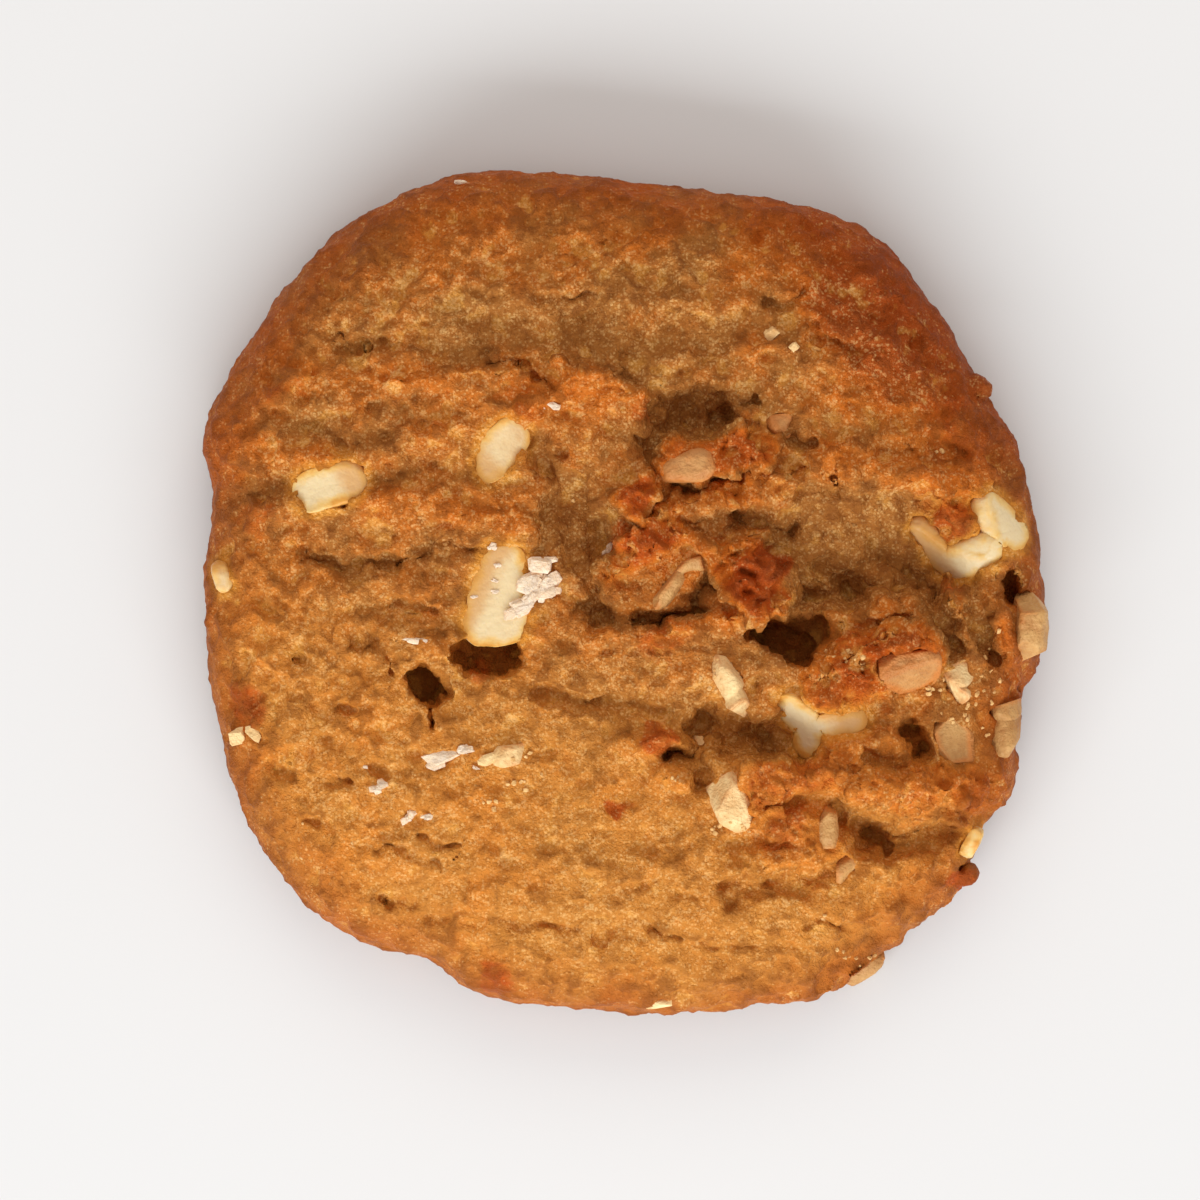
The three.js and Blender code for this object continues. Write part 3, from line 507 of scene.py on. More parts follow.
def pit_depth(x, y):
    """Depth of the pits, which wander half as far as the cracks, and of those; the deepest counts."""
    wander_x, wander_y = wander(x, y)
    depth = np.zeros_like(x)
    for pit in crag_heights(0.5 * (x + wander_x), 0.5 * (y + wander_y), PITS):
        depth = np.minimum(depth, pit)
    for crack in crag_heights(wander_x, wander_y, CRACKS):
        depth = np.minimum(depth, crack)
    return depth


def top_height(x, y):
    """Height of the top of the dough, before pits and notches."""
    share = np.clip(rim_share(x, y), 0, 1)
    dome = WAIST + (CROWN - WAIST) * np.sqrt(1 - share**SHOULDER)
    fade = 1 - np.clip((share - CRAG_FADE) / (1 - CRAG_FADE), 0, 1)**2
    height = dome + fade * relief(x, y)
    over = np.maximum(height - CEILING, 0)
    return height - over + CEILING_GIVE * np.tanh(over / CEILING_GIVE)


def undercut(z):
    drop = 1 - np.clip(z, 0, WAIST) / WAIST
    return FOOT_INSET * (1 - np.sqrt(1 - drop**2))


def surface_tree(mesh):
    return BVHTree.FromPolygons([v.co for v in mesh.vertices], [p.vertices for p in mesh.polygons])


def cover_tree(pieces):
    """Surface of several pieces together."""
    points, faces = [], []
    for piece in pieces:
        faces += [[corner + len(points) for corner in p.vertices] for p in piece.data.polygons]
        points += [v.co for v in piece.data.vertices]
    return BVHTree.FromPolygons(points, faces)


def face_below(tree, x, y):
    """Highest place of a surface at x and y, and its normal there, or None and None."""
    place, normal, _, _ = tree.ray_cast(Vector((x * MM, y * MM, SKY)), Vector((0, 0, -1)))
    return place, normal


def directions(count):
    """Ways spread evenly round a circle."""
    return [(math.cos(turn), math.sin(turn)) for turn in np.arange(count) * 2 * math.pi / count]


def sink_under_chunks(height, axis, chunks):
    """Lowers the dough round each chunk, and in a ragged window over it, so that the chunk shows."""
    fine = axis / CHUNK_FRAY_SIZE
    fray = 1 + CHUNK_FRAY * noise2(*np.meshgrid(fine, fine, indexing="ij"), 51)
    around = directions(CHUNK_LAP_WAYS)
    for piece in chunks:
        tree = surface_tree(piece.data)
        corners = np.array(piece.bound_box) / MM
        low, high = corners.min(axis=0), corners.max(axis=0)
        first = np.searchsorted(axis, low[:2] - CHUNK_REACH)
        last = np.searchsorted(axis, high[:2] + CHUNK_REACH)
        for i, j in itertools.product(range(first[0], last[0]), range(first[1], last[1])):
            x, y = axis[i], axis[j]
            near = tree.find_nearest(Vector((x, y, high[2])) * MM)[0] / MM
            away = math.hypot(near.x - x, near.y - y)
            bank = near.z + CHUNK_LIP + CHUNK_BANK * away
            dig = CHUNK_DIG * max(0, 1 - away / CHUNK_REACH)
            height[i, j] = max(height[i, j] - dig, min(height[i, j], bank))
            face, _ = face_below(tree, x, y)
            if face is None or face.z / MM < height[i, j] - CHUNK_BURY:
                continue
            inset = CHUNK_INSET * fray[i, j]
            if all(face_below(tree, x + inset * c, y + inset * s)[0] is not None for c, s in around):
                height[i, j] = min(height[i, j], face.z / MM - CHUNK_SINK)


def ellipsoid_distance(points, centre, half, turn):
    """Rough signed distance to an ellipsoid, below zero inside."""
    t = math.radians(turn)
    p = points - np.array(centre)
    u = p[:, 0] * math.cos(t) + p[:, 1] * math.sin(t)
    v = -p[:, 0] * math.sin(t) + p[:, 1] * math.cos(t)
    scaled = np.sqrt((u / half[0])**2 + (v / half[1])**2 + (p[:, 2] / half[2])**2)
    return (scaled - 1) * min(half)


def shape_part(field, axes, shape, join):
    """Cuts an ellipsoid out of a field of distances, or joins it on."""
    centre, half, turn = shape
    reach = max(half) + WALL_MARGIN
    part = tuple(slice(*np.searchsorted(axis, (c - reach, c + reach))) for axis, c in zip(axes, centre))
    places = np.meshgrid(*(axis[cut] for axis, cut in zip(axes, part)), indexing="ij")
    points = np.stack(places, axis=-1).reshape(-1, 3)
    wall = ellipsoid_distance(points, centre, half, turn) + WALL_WAVE * noise3(points / WALL_WAVE_SIZE, 13)
    wall = wall.reshape(places[0].shape)
    field[part] = np.minimum(field[part], wall) if join else np.maximum(field[part], -wall)


def dough_field(chunks):
    """Signed distance of the dough on a grid, and the grid's first corner."""
    axis = np.arange(-FIELD_HALF, FIELD_HALF, VOXEL)
    level = np.arange(-LAYERS_BELOW * VOXEL, FIELD_TOP, VOXEL)
    x, y = np.meshgrid(axis, axis, indexing="ij")
    height = top_height(x, y) + pit_depth(x, y)
    sink_under_chunks(height, axis, chunks)
    slope_x, slope_y = np.gradient(height, VOXEL)
    steepness = np.sqrt(1 + slope_x**2 + slope_y**2)
    reach = np.hypot(x, y) * (1 - 1 / np.maximum(rim_share(x, y), MIDDLE_SHARE))
    field = (level[None, None, :] - height[:, :, None]) / steepness[:, :, None]
    field = np.maximum(field, reach[:, :, None] + undercut(level)[None, None, :])
    near = np.nonzero(np.abs(field) < BAND)
    points = np.stack([axis[near[0]], axis[near[1]], level[near[2]]], axis=1)
    x, y, _ = points.T
    flank = ramp(rim_share(x, y), *FLANK_SHARES)
    ragged = ramp(x - y, *RAGGED_ASIDE) * ramp(y, *RAGGED_BELOW)
    field[near] -= flank * FLANK_WAVE * noise3(points / FLANK_WAVE_SIZE, 11)
    field[near] -= flank * ragged * RAGGED_WAVE * noise3(points / RAGGED_WAVE_SIZE, 12)
    for notch in NOTCHES:
        shape_part(field, (axis, axis, level), notch, join=False)
    for knob in KNOBS:
        shape_part(field, (axis, axis, level), knob, join=True)
    field = np.maximum(field, -level[None, None, :])
    return field.astype(np.float32), np.array([axis[0], axis[0], level[0]])


def mesh_from_arrays(name, points, faces, flat):
    """Mesh from arrays of points in millimetres and of corner indices, with flat or smooth faces."""
    mesh = bpy.data.meshes.new(name)
    mesh.from_pydata((points * MM).tolist(), [], faces.tolist(), shade_flat=flat)
    mesh.validate()
    return mesh


def vertex_vectors(mesh, kind):
    """Places in metres, or normals, of a mesh's vertices."""
    vectors = np.empty(len(mesh.vertices) * 3, dtype=np.float32)
    mesh.vertices.foreach_get(kind, vectors)
    return vectors.reshape(-1, 3).astype(float)


def mesh_points(mesh):
    """Points of a mesh in millimetres."""
    return vertex_vectors(mesh, "co") / MM


def mesh_normals(mesh):
    return vertex_vectors(mesh, "normal")


def move_points(mesh, points):
    mesh.vertices.foreach_set("co", (points * MM).astype(np.float32).ravel())
    mesh.update()


def add_object(name, data):
    piece = bpy.data.objects.new(name, data)
    bpy.context.scene.collection.objects.link(piece)
    return piece


def apply_modifiers(piece):
    """Puts the result of a piece's modifiers into its mesh."""
    graph = bpy.context.evaluated_depsgraph_get()
    mesh = bpy.data.meshes.new_from_object(piece.evaluated_get(graph))
    old = piece.data
    piece.modifiers.clear()
    piece.data = mesh
    bpy.data.meshes.remove(old)
    mesh.name = piece.name
    mesh.polygons.foreach_set("use_smooth", np.ones(len(mesh.polygons), dtype=bool))


def set_value(mesh, name, values):
    """Keeps one number a vertex, for the material to read."""
    attribute = mesh.attributes.new(name, "FLOAT", "POINT")
    attribute.data.foreach_set("value", values.astype(np.float32))


def granules(points, seed):
    """Height from 0 to 1 of round granules of many sizes, one to each cell of a lattice of step 1."""
    cell = np.floor(points).astype(np.int64)
    highest = np.zeros(len(points))
    for step in itertools.product((-1, 0, 1), repeat=3):
        other = cell + step
        draws = cell_draws(other, seed)
        size = GRANULE_LEAST + (1 - GRANULE_LEAST) * ((draws @ DRAW_MIX) % 1)
        reach = GRANULE_BASE + GRANULE_GROWTH * size
        away = np.sum((other + draws - points)**2, axis=1)
        highest = np.maximum(highest, size * np.clip(1 - away / reach, 0, 1))
    return highest


def crumb(points, calm):
    """Lumpy crumb, about 0 high on average: wrinkles with round granules on them, held back by calm."""
    wobble = np.stack([noise3(points / WOBBLE_SIZE, seed) for seed in (24, 25, 26)], axis=1)
    points = points + WOBBLE * wobble
    wrinkles = np.abs(noise3(points / WRINKLE_SIZE, 21)) - WRINKLE_MEAN
    total = WRINKLE_RISE * (1 - WRINKLE_CALM * calm) * wrinkles
    for size, rise, share, seed in GRANULES:
        total += rise * (1 - share * calm) * (granules(points / size, seed) - GRANULE_MEAN)
    return total


def calm_share(points, near):
    """Up to 1 in hollows, on the lower part, at the outline and at chunks, 0 on rough dough."""
    x, y, _ = points.T
    hollow = HOLLOW_CALM * ramp(relief(x, y), *HOLLOW_RELIEF)
    lower = LOWER_CALM * ramp(y, *LOWER_Y)
    outline = (RIM_CALM + UPPER_RIM_CALM * ramp(y, *UPPER_Y)) * ramp(rim_share(x, y), *RIM_SHARES)
    return np.maximum.reduce([hollow, lower, outline, near])


def near_chunks(points, chunks, reach):
    """1 at the surface of a chunk, falling to 0 at a reach in millimetres."""
    near = np.zeros(len(points))
    for piece in chunks:
        tree = surface_tree(piece.data)
        corners = np.array(piece.bound_box) / MM
        inside = (points > corners.min(axis=0) - reach) & (points < corners.max(axis=0) + reach)
        for index in np.nonzero(inside.all(axis=1))[0]:
            away = tree.find_nearest(Vector(points[index]) * MM)[3] / MM
            near[index] = max(near[index], 1 - away / reach)
    return near


def main_shell(points, faces):
    """The points and faces of a mesh's largest shell, without the stray bits beside it."""
    label = np.arange(len(points))
    while True:
        lowest = label[faces].min(axis=1)
        joined = label.copy()
        for corner in faces.T:
            np.minimum.at(joined, corner, lowest)
        joined = joined[joined]
        if (joined == label).all():
            break
        label = joined
    shell = label[faces[:, 0]]
    faces = faces[shell == np.bincount(shell).argmax()]
    used, faces = np.unique(faces, return_inverse=True)
    return points[used], faces.reshape(-1, 4)


def dough_mesh(chunks):
    """Smooth mesh of the dough, before its crumb."""
    field, corner = dough_field(chunks)
    grid = openvdb.FloatGrid(BAND)
    grid.copyFromArray(field)
    points, quads = main_shell(*grid.convertToQuads(0.0))
    points = points * VOXEL + corner
    return mesh_from_arrays("cookie_dough_detail", points, quads[:, ::-1], flat=False)


def raise_crumb(mesh, chunks):
    """Moves the points of the dough's mesh out or in by the height of the crumb."""
    points = mesh_points(mesh)
    x, y, z = points.T
    near = near_chunks(points, chunks, CHUNK_CALM_REACH)
    outline = 1 - OUTLINE_CALM * ramp(rim_share(x, y), *OUTLINE_SHARES)
    rough = 1 + RIDGE_ROUGHNESS * ramp(relief(x, y), *RIDGE_RELIEF)
    lift = crumb(points, calm_share(points, near)) * rough * outline * (1 - CHUNK_CALM * near)
    lift *= np.clip(z / FOOT_CALM_HEIGHT, 0, 1)
    move_points(mesh, points + mesh_normals(mesh) * lift[:, None])


def make_dough(chunks):
    """The dough with its crumb, in the place of its solid."""
    mesh = dough_mesh(chunks)
    piece = add_object("cookie_dough_detail", mesh)
    raise_crumb(mesh, chunks)
    decimate = piece.modifiers.new("fewer", "DECIMATE")
    decimate.ratio = min(1.0, DOUGH_TRIANGLES / (2 * len(mesh.polygons)))
    apply_modifiers(piece)
    mark_dough(piece.data, chunks)
    piece.data.materials.append(dough_material())
    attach(piece, "root")
    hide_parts("cookie_dough")
    return piece


def spots(x, y, table):
    """Distance of points from each spot of a table as a share of its radius, and the spot's strength."""
    for (spot_x, spot_y), radius, strength in table:
        yield np.hypot(x - spot_x, y - spot_y) / radius, strength


def mark_dough(mesh, chunks):
    """Numbers for the dough's material, one of each kind a vertex."""
    points = mesh_points(mesh)
    x, y, z = points.T
    wander_x, wander_y = wander(x, y)
    scorch = np.zeros_like(x)
    for away, strength in spots(wander_x, wander_y, SCORCHES):
        scorch = np.maximum(scorch, strength * np.clip(SCORCH_CORE * (1 - away**2), 0, 1))
    # Browning by place, partly painted shade on the top and right edges and painted light on the lower part
    browning_and_painted_light = np.zeros_like(x)
    for away, strength in spots(wander_x, wander_y, BROWNING_AND_PAINTED_LIGHT):
        browning_and_painted_light += strength * (1 - np.clip(away, 0, 1)**2)
    set_value(mesh, "browning_and_painted_light", browning_and_painted_light)
    # Painted light: rises toward the lower side, which faces the key lamp, where the dough is painted paler
    set_value(mesh, "painted_lower_light", ramp(-y - LOWER_LIGHT_SLANT * x, *LOWER_LIGHT_DROP))
    set_value(mesh, "relief", relief(x, y))
    set_value(mesh, "rim", rim_share(x, y))
    set_value(mesh, "lumps", crumb(points, calm_share(points, np.zeros_like(x))))
    set_value(mesh, "scorch", scorch)
    chips = [piece for piece in chunks if piece.name.startswith("white_chip")]
    set_value(mesh, "melt", near_chunks(points, chips, MELT_REACH))
    # Depth below the top, for the painted shade deep in pits and cracks
    set_value(mesh, "hole", np.clip(top_height(x, y) - z, 0, DEEPEST_HOLE))


class Nodes:
    """Short calls for building a material's node tree."""

    def __init__(self, name):
        self.material = bpy.data.materials.new(name)
        self.material.use_nodes = True
        self.tree = self.material.node_tree
        self.shader = self.tree.nodes["Principled BSDF"]

    def add(self, kind, **settings):
        node = self.tree.nodes.new(kind)
        for key, value in settings.items():
            setattr(node, key, value)
        return node

    def put(self, socket, value):
        """Links a socket or sets a constant."""
        if isinstance(value, bpy.types.NodeSocket):
            self.tree.links.new(value, socket)
        elif value is not None:
            socket.default_value = value

    def set(self, **values):
        """Sets the shader's inputs, named with underscores for spaces."""
        for key, value in values.items():
            self.put(self.shader.inputs[key.replace("_", " ")], value)

    def value(self, name):
        return self.add("ShaderNodeAttribute", attribute_name=name).outputs["Fac"]

    def math(self, operation, a, b=None):
        node = self.add("ShaderNodeMath", operation=operation)
        self.put(node.inputs[0], a)
        self.put(node.inputs[1], b)
        return node.outputs[0]

    def total(self, *weighted):
        """Sum of values, each with its weight."""
        parts = [self.math("MULTIPLY", value, weight) for value, weight in weighted]
        result = parts[0]
        for part in parts[1:]:
            result = self.math("ADD", result, part)
        return result

    def between(self, value, low, high, most=1.0):
        """0 at low, `most` at high, eased and clamped."""
        node = self.add("ShaderNodeMapRange", interpolation_type="SMOOTHSTEP")
        self.put(node.inputs["Value"], value)
        self.put(node.inputs["From Min"], low)
        self.put(node.inputs["From Max"], high)
        self.put(node.inputs["To Max"], most)
        return node.outputs["Result"]

    def texture(self, kind, size):
        """Texture with the size of its patches or grains in millimetres."""
        node = self.add(kind)
        self.put(node.inputs["Vector"], self.add("ShaderNodeTexCoord").outputs["Object"])
        self.put(node.inputs["Scale"], 1 / (size * MM))
        return node

    def noise(self, size, detail=3.0, roughness=0.55):
        """Noise of about -1 to 1."""
        node = self.texture("ShaderNodeTexNoise", size)
        self.put(node.inputs["Detail"], detail)
        self.put(node.inputs["Roughness"], roughness)
        return self.math("MULTIPLY", self.math("SUBTRACT", node.outputs["Fac"], 0.5), 3.0)

    def grains(self, size):
        """Height of round packed grains, and a random number for each of them."""
        node = self.texture("ShaderNodeTexVoronoi", size)
        draw = self.add("ShaderNodeSeparateColor")
        self.put(draw.inputs["Color"], node.outputs["Color"])
        away = node.outputs["Distance"]
        return self.math("SUBTRACT", 1.0, self.math("MULTIPLY", away, away)), draw.outputs["Red"]

    def mix(self, a, b, share):
        """Mix of two colours, by the numbered sockets that the node keeps for colours."""
        node = self.add("ShaderNodeMix", data_type="RGBA")
        self.put(node.inputs[0], share)
        self.put(node.inputs[6], a)
        self.put(node.inputs[7], b)
        return node.outputs[2]

    def bump(self, height, distance):
        """Normal for a height from 0 to 1 that stands for a distance in millimetres."""
        node = self.add("ShaderNodeBump")
        self.put(node.inputs["Distance"], distance * MM)
        self.put(node.inputs["Height"], height)
        return node.outputs["Normal"]


def colour(red, green, blue):
    """Colour node value from sRGB numbers of 0 to 255."""
    def linear(part):
        part /= 255
        return part / 12.92 if part <= 0.04045 else ((part + 0.055) / 1.055)**2.4
    return (linear(red), linear(green), linear(blue), 1.0)


OLIVE = colour(178, 112, 48)
ORANGE = colour(214, 114, 30)
CRUST = colour(182, 76, 14)
# Paler colour painted on the lower side as painted light
PAINTED_LIGHT_PALE = colour(234, 152, 60)
# Painted highlight on the crumb's lumps, and painted shade in its creases and tiny pits
LUMP_HIGHLIGHT = colour(250, 178, 78)
CREASE_SHADE = colour(110, 50, 9)
RIM_BROWN = colour(158, 66, 15)
SCORCH = colour(192, 80, 18)
CHAR = colour(100, 30, 8)
# Pale specks painted as glints of the moist crumb
PAINTED_GLINT = colour(255, 208, 136)
MELT = colour(236, 158, 56)
# Painted shade deep in pits and cracks
HOLE_SHADE = colour(112, 58, 18)
VEIL = colour(206, 142, 66)
CHIP_EDGE = colour(220, 154, 66)
CHIP_BODY = colour(232, 188, 108)
CHIP_CORE = colour(232, 208, 162)
FLAKE_DARK = colour(238, 200, 162)
FLAKE_LIGHT = colour(252, 228, 200)
FLOOR_GREY = colour(228, 228, 228)


def dough_material():
    """Baked crust browned by height and place, the place partly painted light and shade; painted highlights
    on its lumps, painted shade in its creases and holes, a painted paler lower side and specks of painted
    glint.
    """
    n = Nodes("baked_dough")
    patch = n.noise(6)
    mottle = n.noise(1.8, 4.0, 0.6)
    fine = n.noise(0.34, 3.0, 0.7)
    grain, tint = n.grains(0.26)
    crust = n.total((n.value("relief"), 0.5), (patch, 1.1), (mottle, 0.8), (n.value("browning_and_painted_light"), 1.2))
    base = n.mix(OLIVE, ORANGE, n.between(crust, -0.8, 1.2))
    base = n.mix(base, CRUST, n.between(crust, 0.6, 2.6, 0.8))
    # Painted light: the lower side, which faces the key lamp, is painted paler
    painted_lower_light = n.total((n.value("painted_lower_light"), 1.0), (mottle, 0.2), (patch, 0.15))
    base = n.mix(base, PAINTED_LIGHT_PALE, n.between(painted_lower_light, 0.0, 1.1, 0.5))
    # Browned places, partly painted shade on the top and right edges and painted light lower down
    base = n.mix(base, RIM_BROWN, n.between(n.value("browning_and_painted_light"), 0.3, 1.2, 0.75))
    # Browner toward the rim, held back a little on the lower side as painted light
    edge = n.total((n.value("rim"), 1.0), (patch, 0.05), (n.value("painted_lower_light"), -0.015))
    base = n.mix(base, RIM_BROWN, n.between(edge, 0.84, 1.02, 0.6))
    base = n.mix(base, MELT, n.between(n.total((n.value("melt"), 1.0), (mottle, 0.3)), 0.25, 1.0, 0.65))
    # Painted shade: darker deep in pits and cracks
    base = n.mix(base, HOLE_SHADE, n.between(n.value("hole"), 2.5, 5.0, 0.6))
    scorch = n.total((n.value("scorch"), 1.0), (mottle, 0.5), (patch, 0.1))
    base = n.mix(base, SCORCH, n.between(scorch, 0.2, 1.0, 0.85))
    base = n.mix(base, CHAR, n.between(scorch, 0.8, 1.4, 0.5))
    on_rim = n.between(edge, 0.8, 0.95)
    # Painted highlight on the crumb's lumps and painted shade in the creases between them
    lumps = n.total((n.value("lumps"), 1.0), (mottle, 0.15), (n.value("scorch"), -0.15), (on_rim, -0.15))
    base = n.mix(base, LUMP_HIGHLIGHT, n.between(lumps, 0.05, 0.55, 0.45))
    base = n.mix(base, CREASE_SHADE, n.between(lumps, -0.05, -0.45, 0.45))
    # Painted glints: pale specks clustered on the grains and lumps, fewer on the rim, scorch and in holes
    bare = n.total((on_rim, -0.25), (n.value("scorch"), -0.25), (n.value("hole"), -0.2))
    clusters = n.total((fine, 0.4), (mottle, 0.4), (n.value("lumps"), 0.6))
    glint_speck = n.total((tint, 0.8), (grain, 0.6), (clusters, 1.0), (bare, 1.0))
    base = n.mix(base, PAINTED_GLINT, n.between(glint_speck, 0.75, 1.6, 0.5))
    # Painted shade: dark specks for tiny pits among the grains
    base = n.mix(base, CREASE_SHADE, n.between(n.total((tint, 1.0), (fine, 0.5)), 0.4, -0.3, 0.3))
    height = n.total((fine, 0.6), (grain, 0.3))
    n.set(Base_Color=base, Normal=n.bump(height, 0.2), Roughness=0.5, Specular_IOR_Level=0.12)
    return n.material


def chip_material():
    """White chocolate, melted and yellower toward its edges, with a thin veil of dough on one side."""
    n = Nodes("white_chocolate")
    cloud = n.noise(2.2)
    inner = n.total((n.value("inner"), 1.0), (cloud, 0.7))
    base = n.mix(CHIP_EDGE, CHIP_BODY, n.between(inner, 0.0, 0.6))
    base = n.mix(base, CHIP_CORE, n.between(inner, 0.3, 1.3))
    veil = n.total((n.value("veil"), 1.0), (cloud, 0.25), (n.noise(0.5), 0.1))
    base = n.mix(base, VEIL, n.between(veil, 0.1, 0.9, 0.65))
    n.set(Base_Color=base, Roughness=0.4, Specular_IOR_Level=0.3)
    n.set(Normal=n.bump(n.noise(0.9, 2.0), 0.05))
    n.set(Subsurface_Weight=0.2, Subsurface_Radius=(1.0, 0.8, 0.5), Subsurface_Scale=1.0 * MM)
    return n.material


def nut_material(name, dark, light, lap=0.6):
    """A nut's broken faces, taking the dough's colour toward their edges over the lap."""
    n = Nodes(name)
    cloud = n.noise(3, 4.0)
    skin = n.noise(0.8, 3.0)
    base = n.mix(dark, light, n.between(n.total((cloud, 0.7), (skin, 0.4)), -0.9, 0.8))
    inner = n.total((n.value("inner"), 1.0), (cloud, 0.25))
    base = n.mix(n.mix(ORANGE, base, 0.5), base, n.between(inner, 0.0, lap))
    n.set(Base_Color=base, Roughness=0.5, Specular_IOR_Level=0.3)
    n.set(Normal=n.bump(n.total((skin, 0.5), (n.noise(0.3, 2.0), 0.3)), 0.16))
    return n.material


def broken(points, cuts, seed):
    """Points of a lump, pushed in behind random flat faces."""
    draw = np.random.default_rng(seed)
    middle = points.mean(axis=0)
    for _ in range(cuts):
        face = draw.normal(size=3) * np.array([1, 1, FACE_LEAN])
        face /= np.linalg.norm(face)
        out = (points - middle) @ face
        past = np.maximum(out - draw.uniform(*FACE_CUTS) * out.max(), 0)
        points = points - past[:, None] * face
    return points


def level_off(points):
    """Points of a chunk, cut off level with the dough round it."""
    x, y, z = points.T
    u, v = x - x.mean(), y - y.mean()
    terms = np.stack([np.ones_like(u), u, v, u * u, u * v, v * v], axis=1)
    shares, _, _, _ = np.linalg.lstsq(terms, top_height(x, y), rcond=None)
    return np.stack([x, y, np.minimum(z, terms @ shares - CHUNK_SUNK)], axis=1)


def make_chunk(name, material, smoothing, cuts, swell):
    """A finer piece in the place of a chunk's solid, swollen to close on the dough, with broken faces."""
    piece = add_object(name + "_detail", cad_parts[name].data.copy())
    remesh = piece.modifiers.new("fine", "REMESH")
    remesh.mode = "VOXEL"
    remesh.voxel_size = CHUNK_VOXEL * MM
    soften = piece.modifiers.new("soften", "SMOOTH")
    soften.iterations = smoothing
    apply_modifiers(piece)
    mesh = piece.data
    points = mesh_points(mesh)
    lift = np.full(len(points), swell)
    for length, size, seed in CHUNK_WAVES:
        lift += size * noise3(points / length, seed)
    points = broken(points + mesh_normals(mesh) * lift[:, None], cuts, len(points))
    move_points(mesh, level_off(points) if name in LEVEL_CHUNKS else points)
    mesh.materials.clear()
    mesh.materials.append(material)
    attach(piece, "root")
    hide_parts(name)
    return piece


def mark_chunk(piece):
    """Numbers for a chunk's material: millimetres in from the edge of its face, and the veil over it."""
    tree = surface_tree(piece.data)
    inner = []
    for vertex in piece.data.vertices:
        start = vertex.co - vertex.normal * PROBE_DEPTH * MM
        first = vertex.normal.orthogonal().normalized()
        second = vertex.normal.cross(first)
        ways = [first * c + second * s for c, s in directions(PROBE_WAYS)]
        inner.append(min(tree.ray_cast(start, way)[3] or 0 for way in ways) / MM)
    set_value(piece.data, "inner", np.array(inner))
    way_x, way_y, least = CHIP_VEILS.get(piece.name.removesuffix("_detail"), (0, 0, 0))
    along = mesh_points(piece.data)[:, :2] @ np.array([way_x, way_y])
    start, end = np.quantile(along, VEIL_SPAN)
    veil = ramp(along, start, end + VEIL_LEAST)
    set_value(piece.data, "veil", np.maximum(veil, least))


def shard(half, seed):
    """Points and faces of an angular shard, the hull of random points on a boxy lump."""
    draw = np.random.default_rng(seed)
    maker = bmesh.new()
    for way in draw.normal(size=(SHARD_POINTS, 3)):
        boxy = np.sign(way) * np.abs(way / np.linalg.norm(way))**SHARD_BOXINESS
        maker.verts.new(boxy * half)
    bmesh.ops.convex_hull(maker, input=maker.verts)
    maker.verts.index_update()
    points = np.array([v.co for v in maker.verts])
    faces = np.array([[v.index for v in face.verts] for face in maker.faces])
    maker.free()
    used, faces = np.unique(faces, return_inverse=True)
    return points[used], faces.reshape(-1, 3)


def clump(half, extra, seed):
    """Points and faces of a ragged bit: a shard with some smaller ones grown on to it."""
    draw = np.random.default_rng(seed)
    points, faces = shard(half * (1 - CLUMP_SHRINK * extra), seed)
    for index in range(extra):
        more, sides = shard(half * draw.uniform(*CLUMP_SIZES, 3), seed + SEED_STEP * (index + 1))
        shift = half * draw.uniform(-CLUMP_SPREAD, CLUMP_SPREAD, 3) * np.array([1, 1, CLUMP_FLATNESS])
        faces = np.concatenate([faces, sides + len(points)])
        points = np.concatenate([points, more + shift])
    return points, faces


def make_bits(name, bits, thickness, extra, tree, material):
    """One piece of many angular bits that lie on the cookie: each is a centre, half sizes and a turn."""
    all_points, all_faces = [], []
    count = 0
    for index, ((x, y), (a, b), turn) in enumerate(bits):
        place, normal = face_below(tree, x, y)
        if place is None:
            place, normal, _, _ = tree.find_nearest(Vector((x, y, WAIST)) * MM)
        thick = thickness * min(1, b)
        points, faces = clump(np.array([a, b, thick]), extra, BIT_SEED + index)
        up = Vector((0, 0, 1))
        upright = up.rotation_difference(normal.lerp(up, BIT_UPRIGHT)).to_matrix()
        spin = Matrix.Rotation(math.radians(turn), 3, "Z")
        placed = points @ np.array(upright @ spin).T + np.array(place) / MM
        placed[:, 2] += BIT_RISE * thick
        all_faces.append(faces + count)
        all_points.append(placed)
        count += len(points)
    mesh = mesh_from_arrays(name, np.concatenate(all_points), np.concatenate(all_faces), flat=True)
    piece = add_object(name, mesh)
    set_value(mesh, "inner", np.full(len(mesh.vertices), WELL_INSIDE))
    mesh.materials.append(material)
    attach(piece, "root")


def crumb_bits():
    """Crumbs scattered in their clusters."""
    draw = np.random.default_rng(CRUMB_SEED)
    bits = []
    for (x, y), spread, count in CRUMB_CLUSTERS:
        for _ in range(count):
            at = (x + spread[0] * draw.normal(), y + spread[1] * draw.normal())
            size = draw.uniform(*CRUMB_SIZES)
            bits.append((at, (size, size * draw.uniform(*CRUMB_SHAPES)), draw.uniform(0, 180)))
    return bits


def flake_material():
    """Crumbled white chocolate."""
    n = Nodes("pale_flake")
    cloud = n.noise(0.8)
    n.set(Base_Color=n.mix(FLAKE_DARK, FLAKE_LIGHT, n.between(cloud, -1, 1)))
    n.set(Roughness=0.55, Specular_IOR_Level=0.3, Normal=n.bump(n.noise(0.3, 2.0), 0.06))
    n.set(Subsurface_Weight=0.25, Subsurface_Radius=(1.0, 0.8, 0.6), Subsurface_Scale=0.6 * MM)
    return n.material


def make_floor():
    """Pale floor of the studio."""
    mesh = bpy.data.meshes.new("floor")
    corners = [(-1, -1), (1, -1), (1, 1), (-1, 1)]
    mesh.from_pydata([(x * FLOOR_HALF, y * FLOOR_HALF, 0) for x, y in corners], [], [(0, 1, 2, 3)])
    floor = add_object("floor", mesh)
    n = Nodes("pale_floor")
    n.set(Base_Color=FLOOR_GREY, Roughness=0.8, Specular_IOR_Level=0.1)
    mesh.materials.append(n.material)


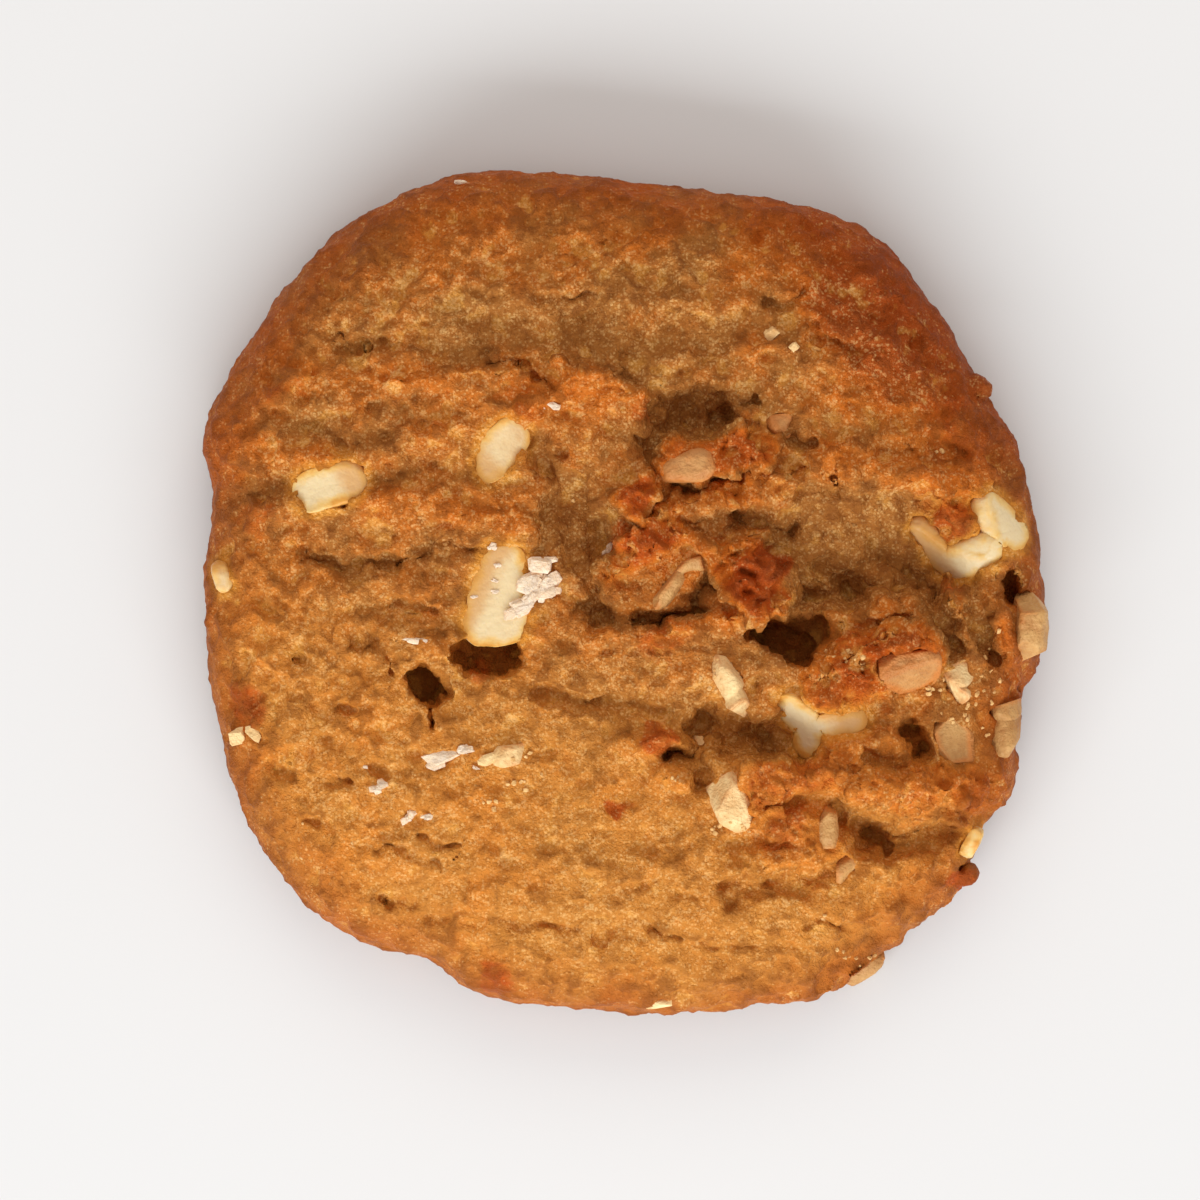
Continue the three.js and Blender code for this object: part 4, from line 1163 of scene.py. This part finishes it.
def add_lamp(name, size, energy, tint, place):
    """A broad lamp that shines on the cookie."""
    lamp = bpy.data.lights.new(name, "AREA")
    lamp.shape = "RECTANGLE"
    lamp.size, lamp.size_y = size
    lamp.energy = energy
    lamp.color = tint
    holder = add_object(name, lamp)
    holder.location = place
    holder.rotation_euler = (-holder.location).to_track_quat("-Z", "Y").to_euler()


def make_light():
    """Soft light from all round, a broad key lamp and a warm fill."""
    world = bpy.data.worlds.new("studio")
    bpy.context.scene.world = world
    world.use_nodes = True
    background = world.node_tree.nodes["Background"]
    background.inputs["Color"].default_value = WORLD_COLOUR
    background.inputs["Strength"].default_value = WORLD_STRENGTH
    for lamp in LAMPS:
        add_lamp(*lamp)


def make_camera():
    """Camera straight above the cookie."""
    data = bpy.data.cameras.new("camera")
    camera = add_object("camera", data)
    camera.location = CAMERA_PLACE
    data.sensor_width = SENSOR_WIDTH
    data.lens = SENSOR_WIDTH * (CAMERA_PLACE[2] - FRAME_LEVEL) / FRAME_WIDTH
    data.clip_start = 0.01
    data.clip_end = 10
    bpy.context.scene.camera = camera


def main():
    bpy.context.scene.view_settings.view_transform = "Standard"
    make_camera()
    make_light()
    make_floor()
    chip = chip_material()
    cream = nut_material("cream_nut", colour(216, 158, 92), colour(255, 226, 166))
    tan = nut_material("toasted_nut", colour(172, 112, 56), colour(214, 166, 102))
    brown = nut_material("browned_nut", colour(176, 112, 56), colour(212, 156, 94), 1.0)
    toast = nut_material("toasted_crumb", colour(206, 150, 84), colour(244, 200, 132))
    chunks = []
    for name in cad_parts:
        if name.startswith("white_chip"):
            swell = SWELLS.get(name, CHIP_SWELL)
            chunks.append(make_chunk(name, chip, CHIP_SMOOTHING, CHIP_FACES, swell))
        elif name.startswith("nut"):
            material = cream if name in CREAM_NUTS else brown if name in BROWN_NUTS else tan
            swell = SWELLS.get(name, NUT_SWELL)
            chunks.append(make_chunk(name, material, NUT_SMOOTHING, NUT_FACES, swell))
    dough = make_dough(chunks)
    for piece in chunks:
        mark_chunk(piece)
    tree = cover_tree([dough] + chunks)
    make_bits("white_flakes", WHITE_FLAKES, 0.6, 3, tree, flake_material())
    make_bits("nut_bits", NUT_BITS, 0.7, 1, tree, cream)
    make_bits("crumbs", crumb_bits(), 0.8, 0, tree, toast)


main()
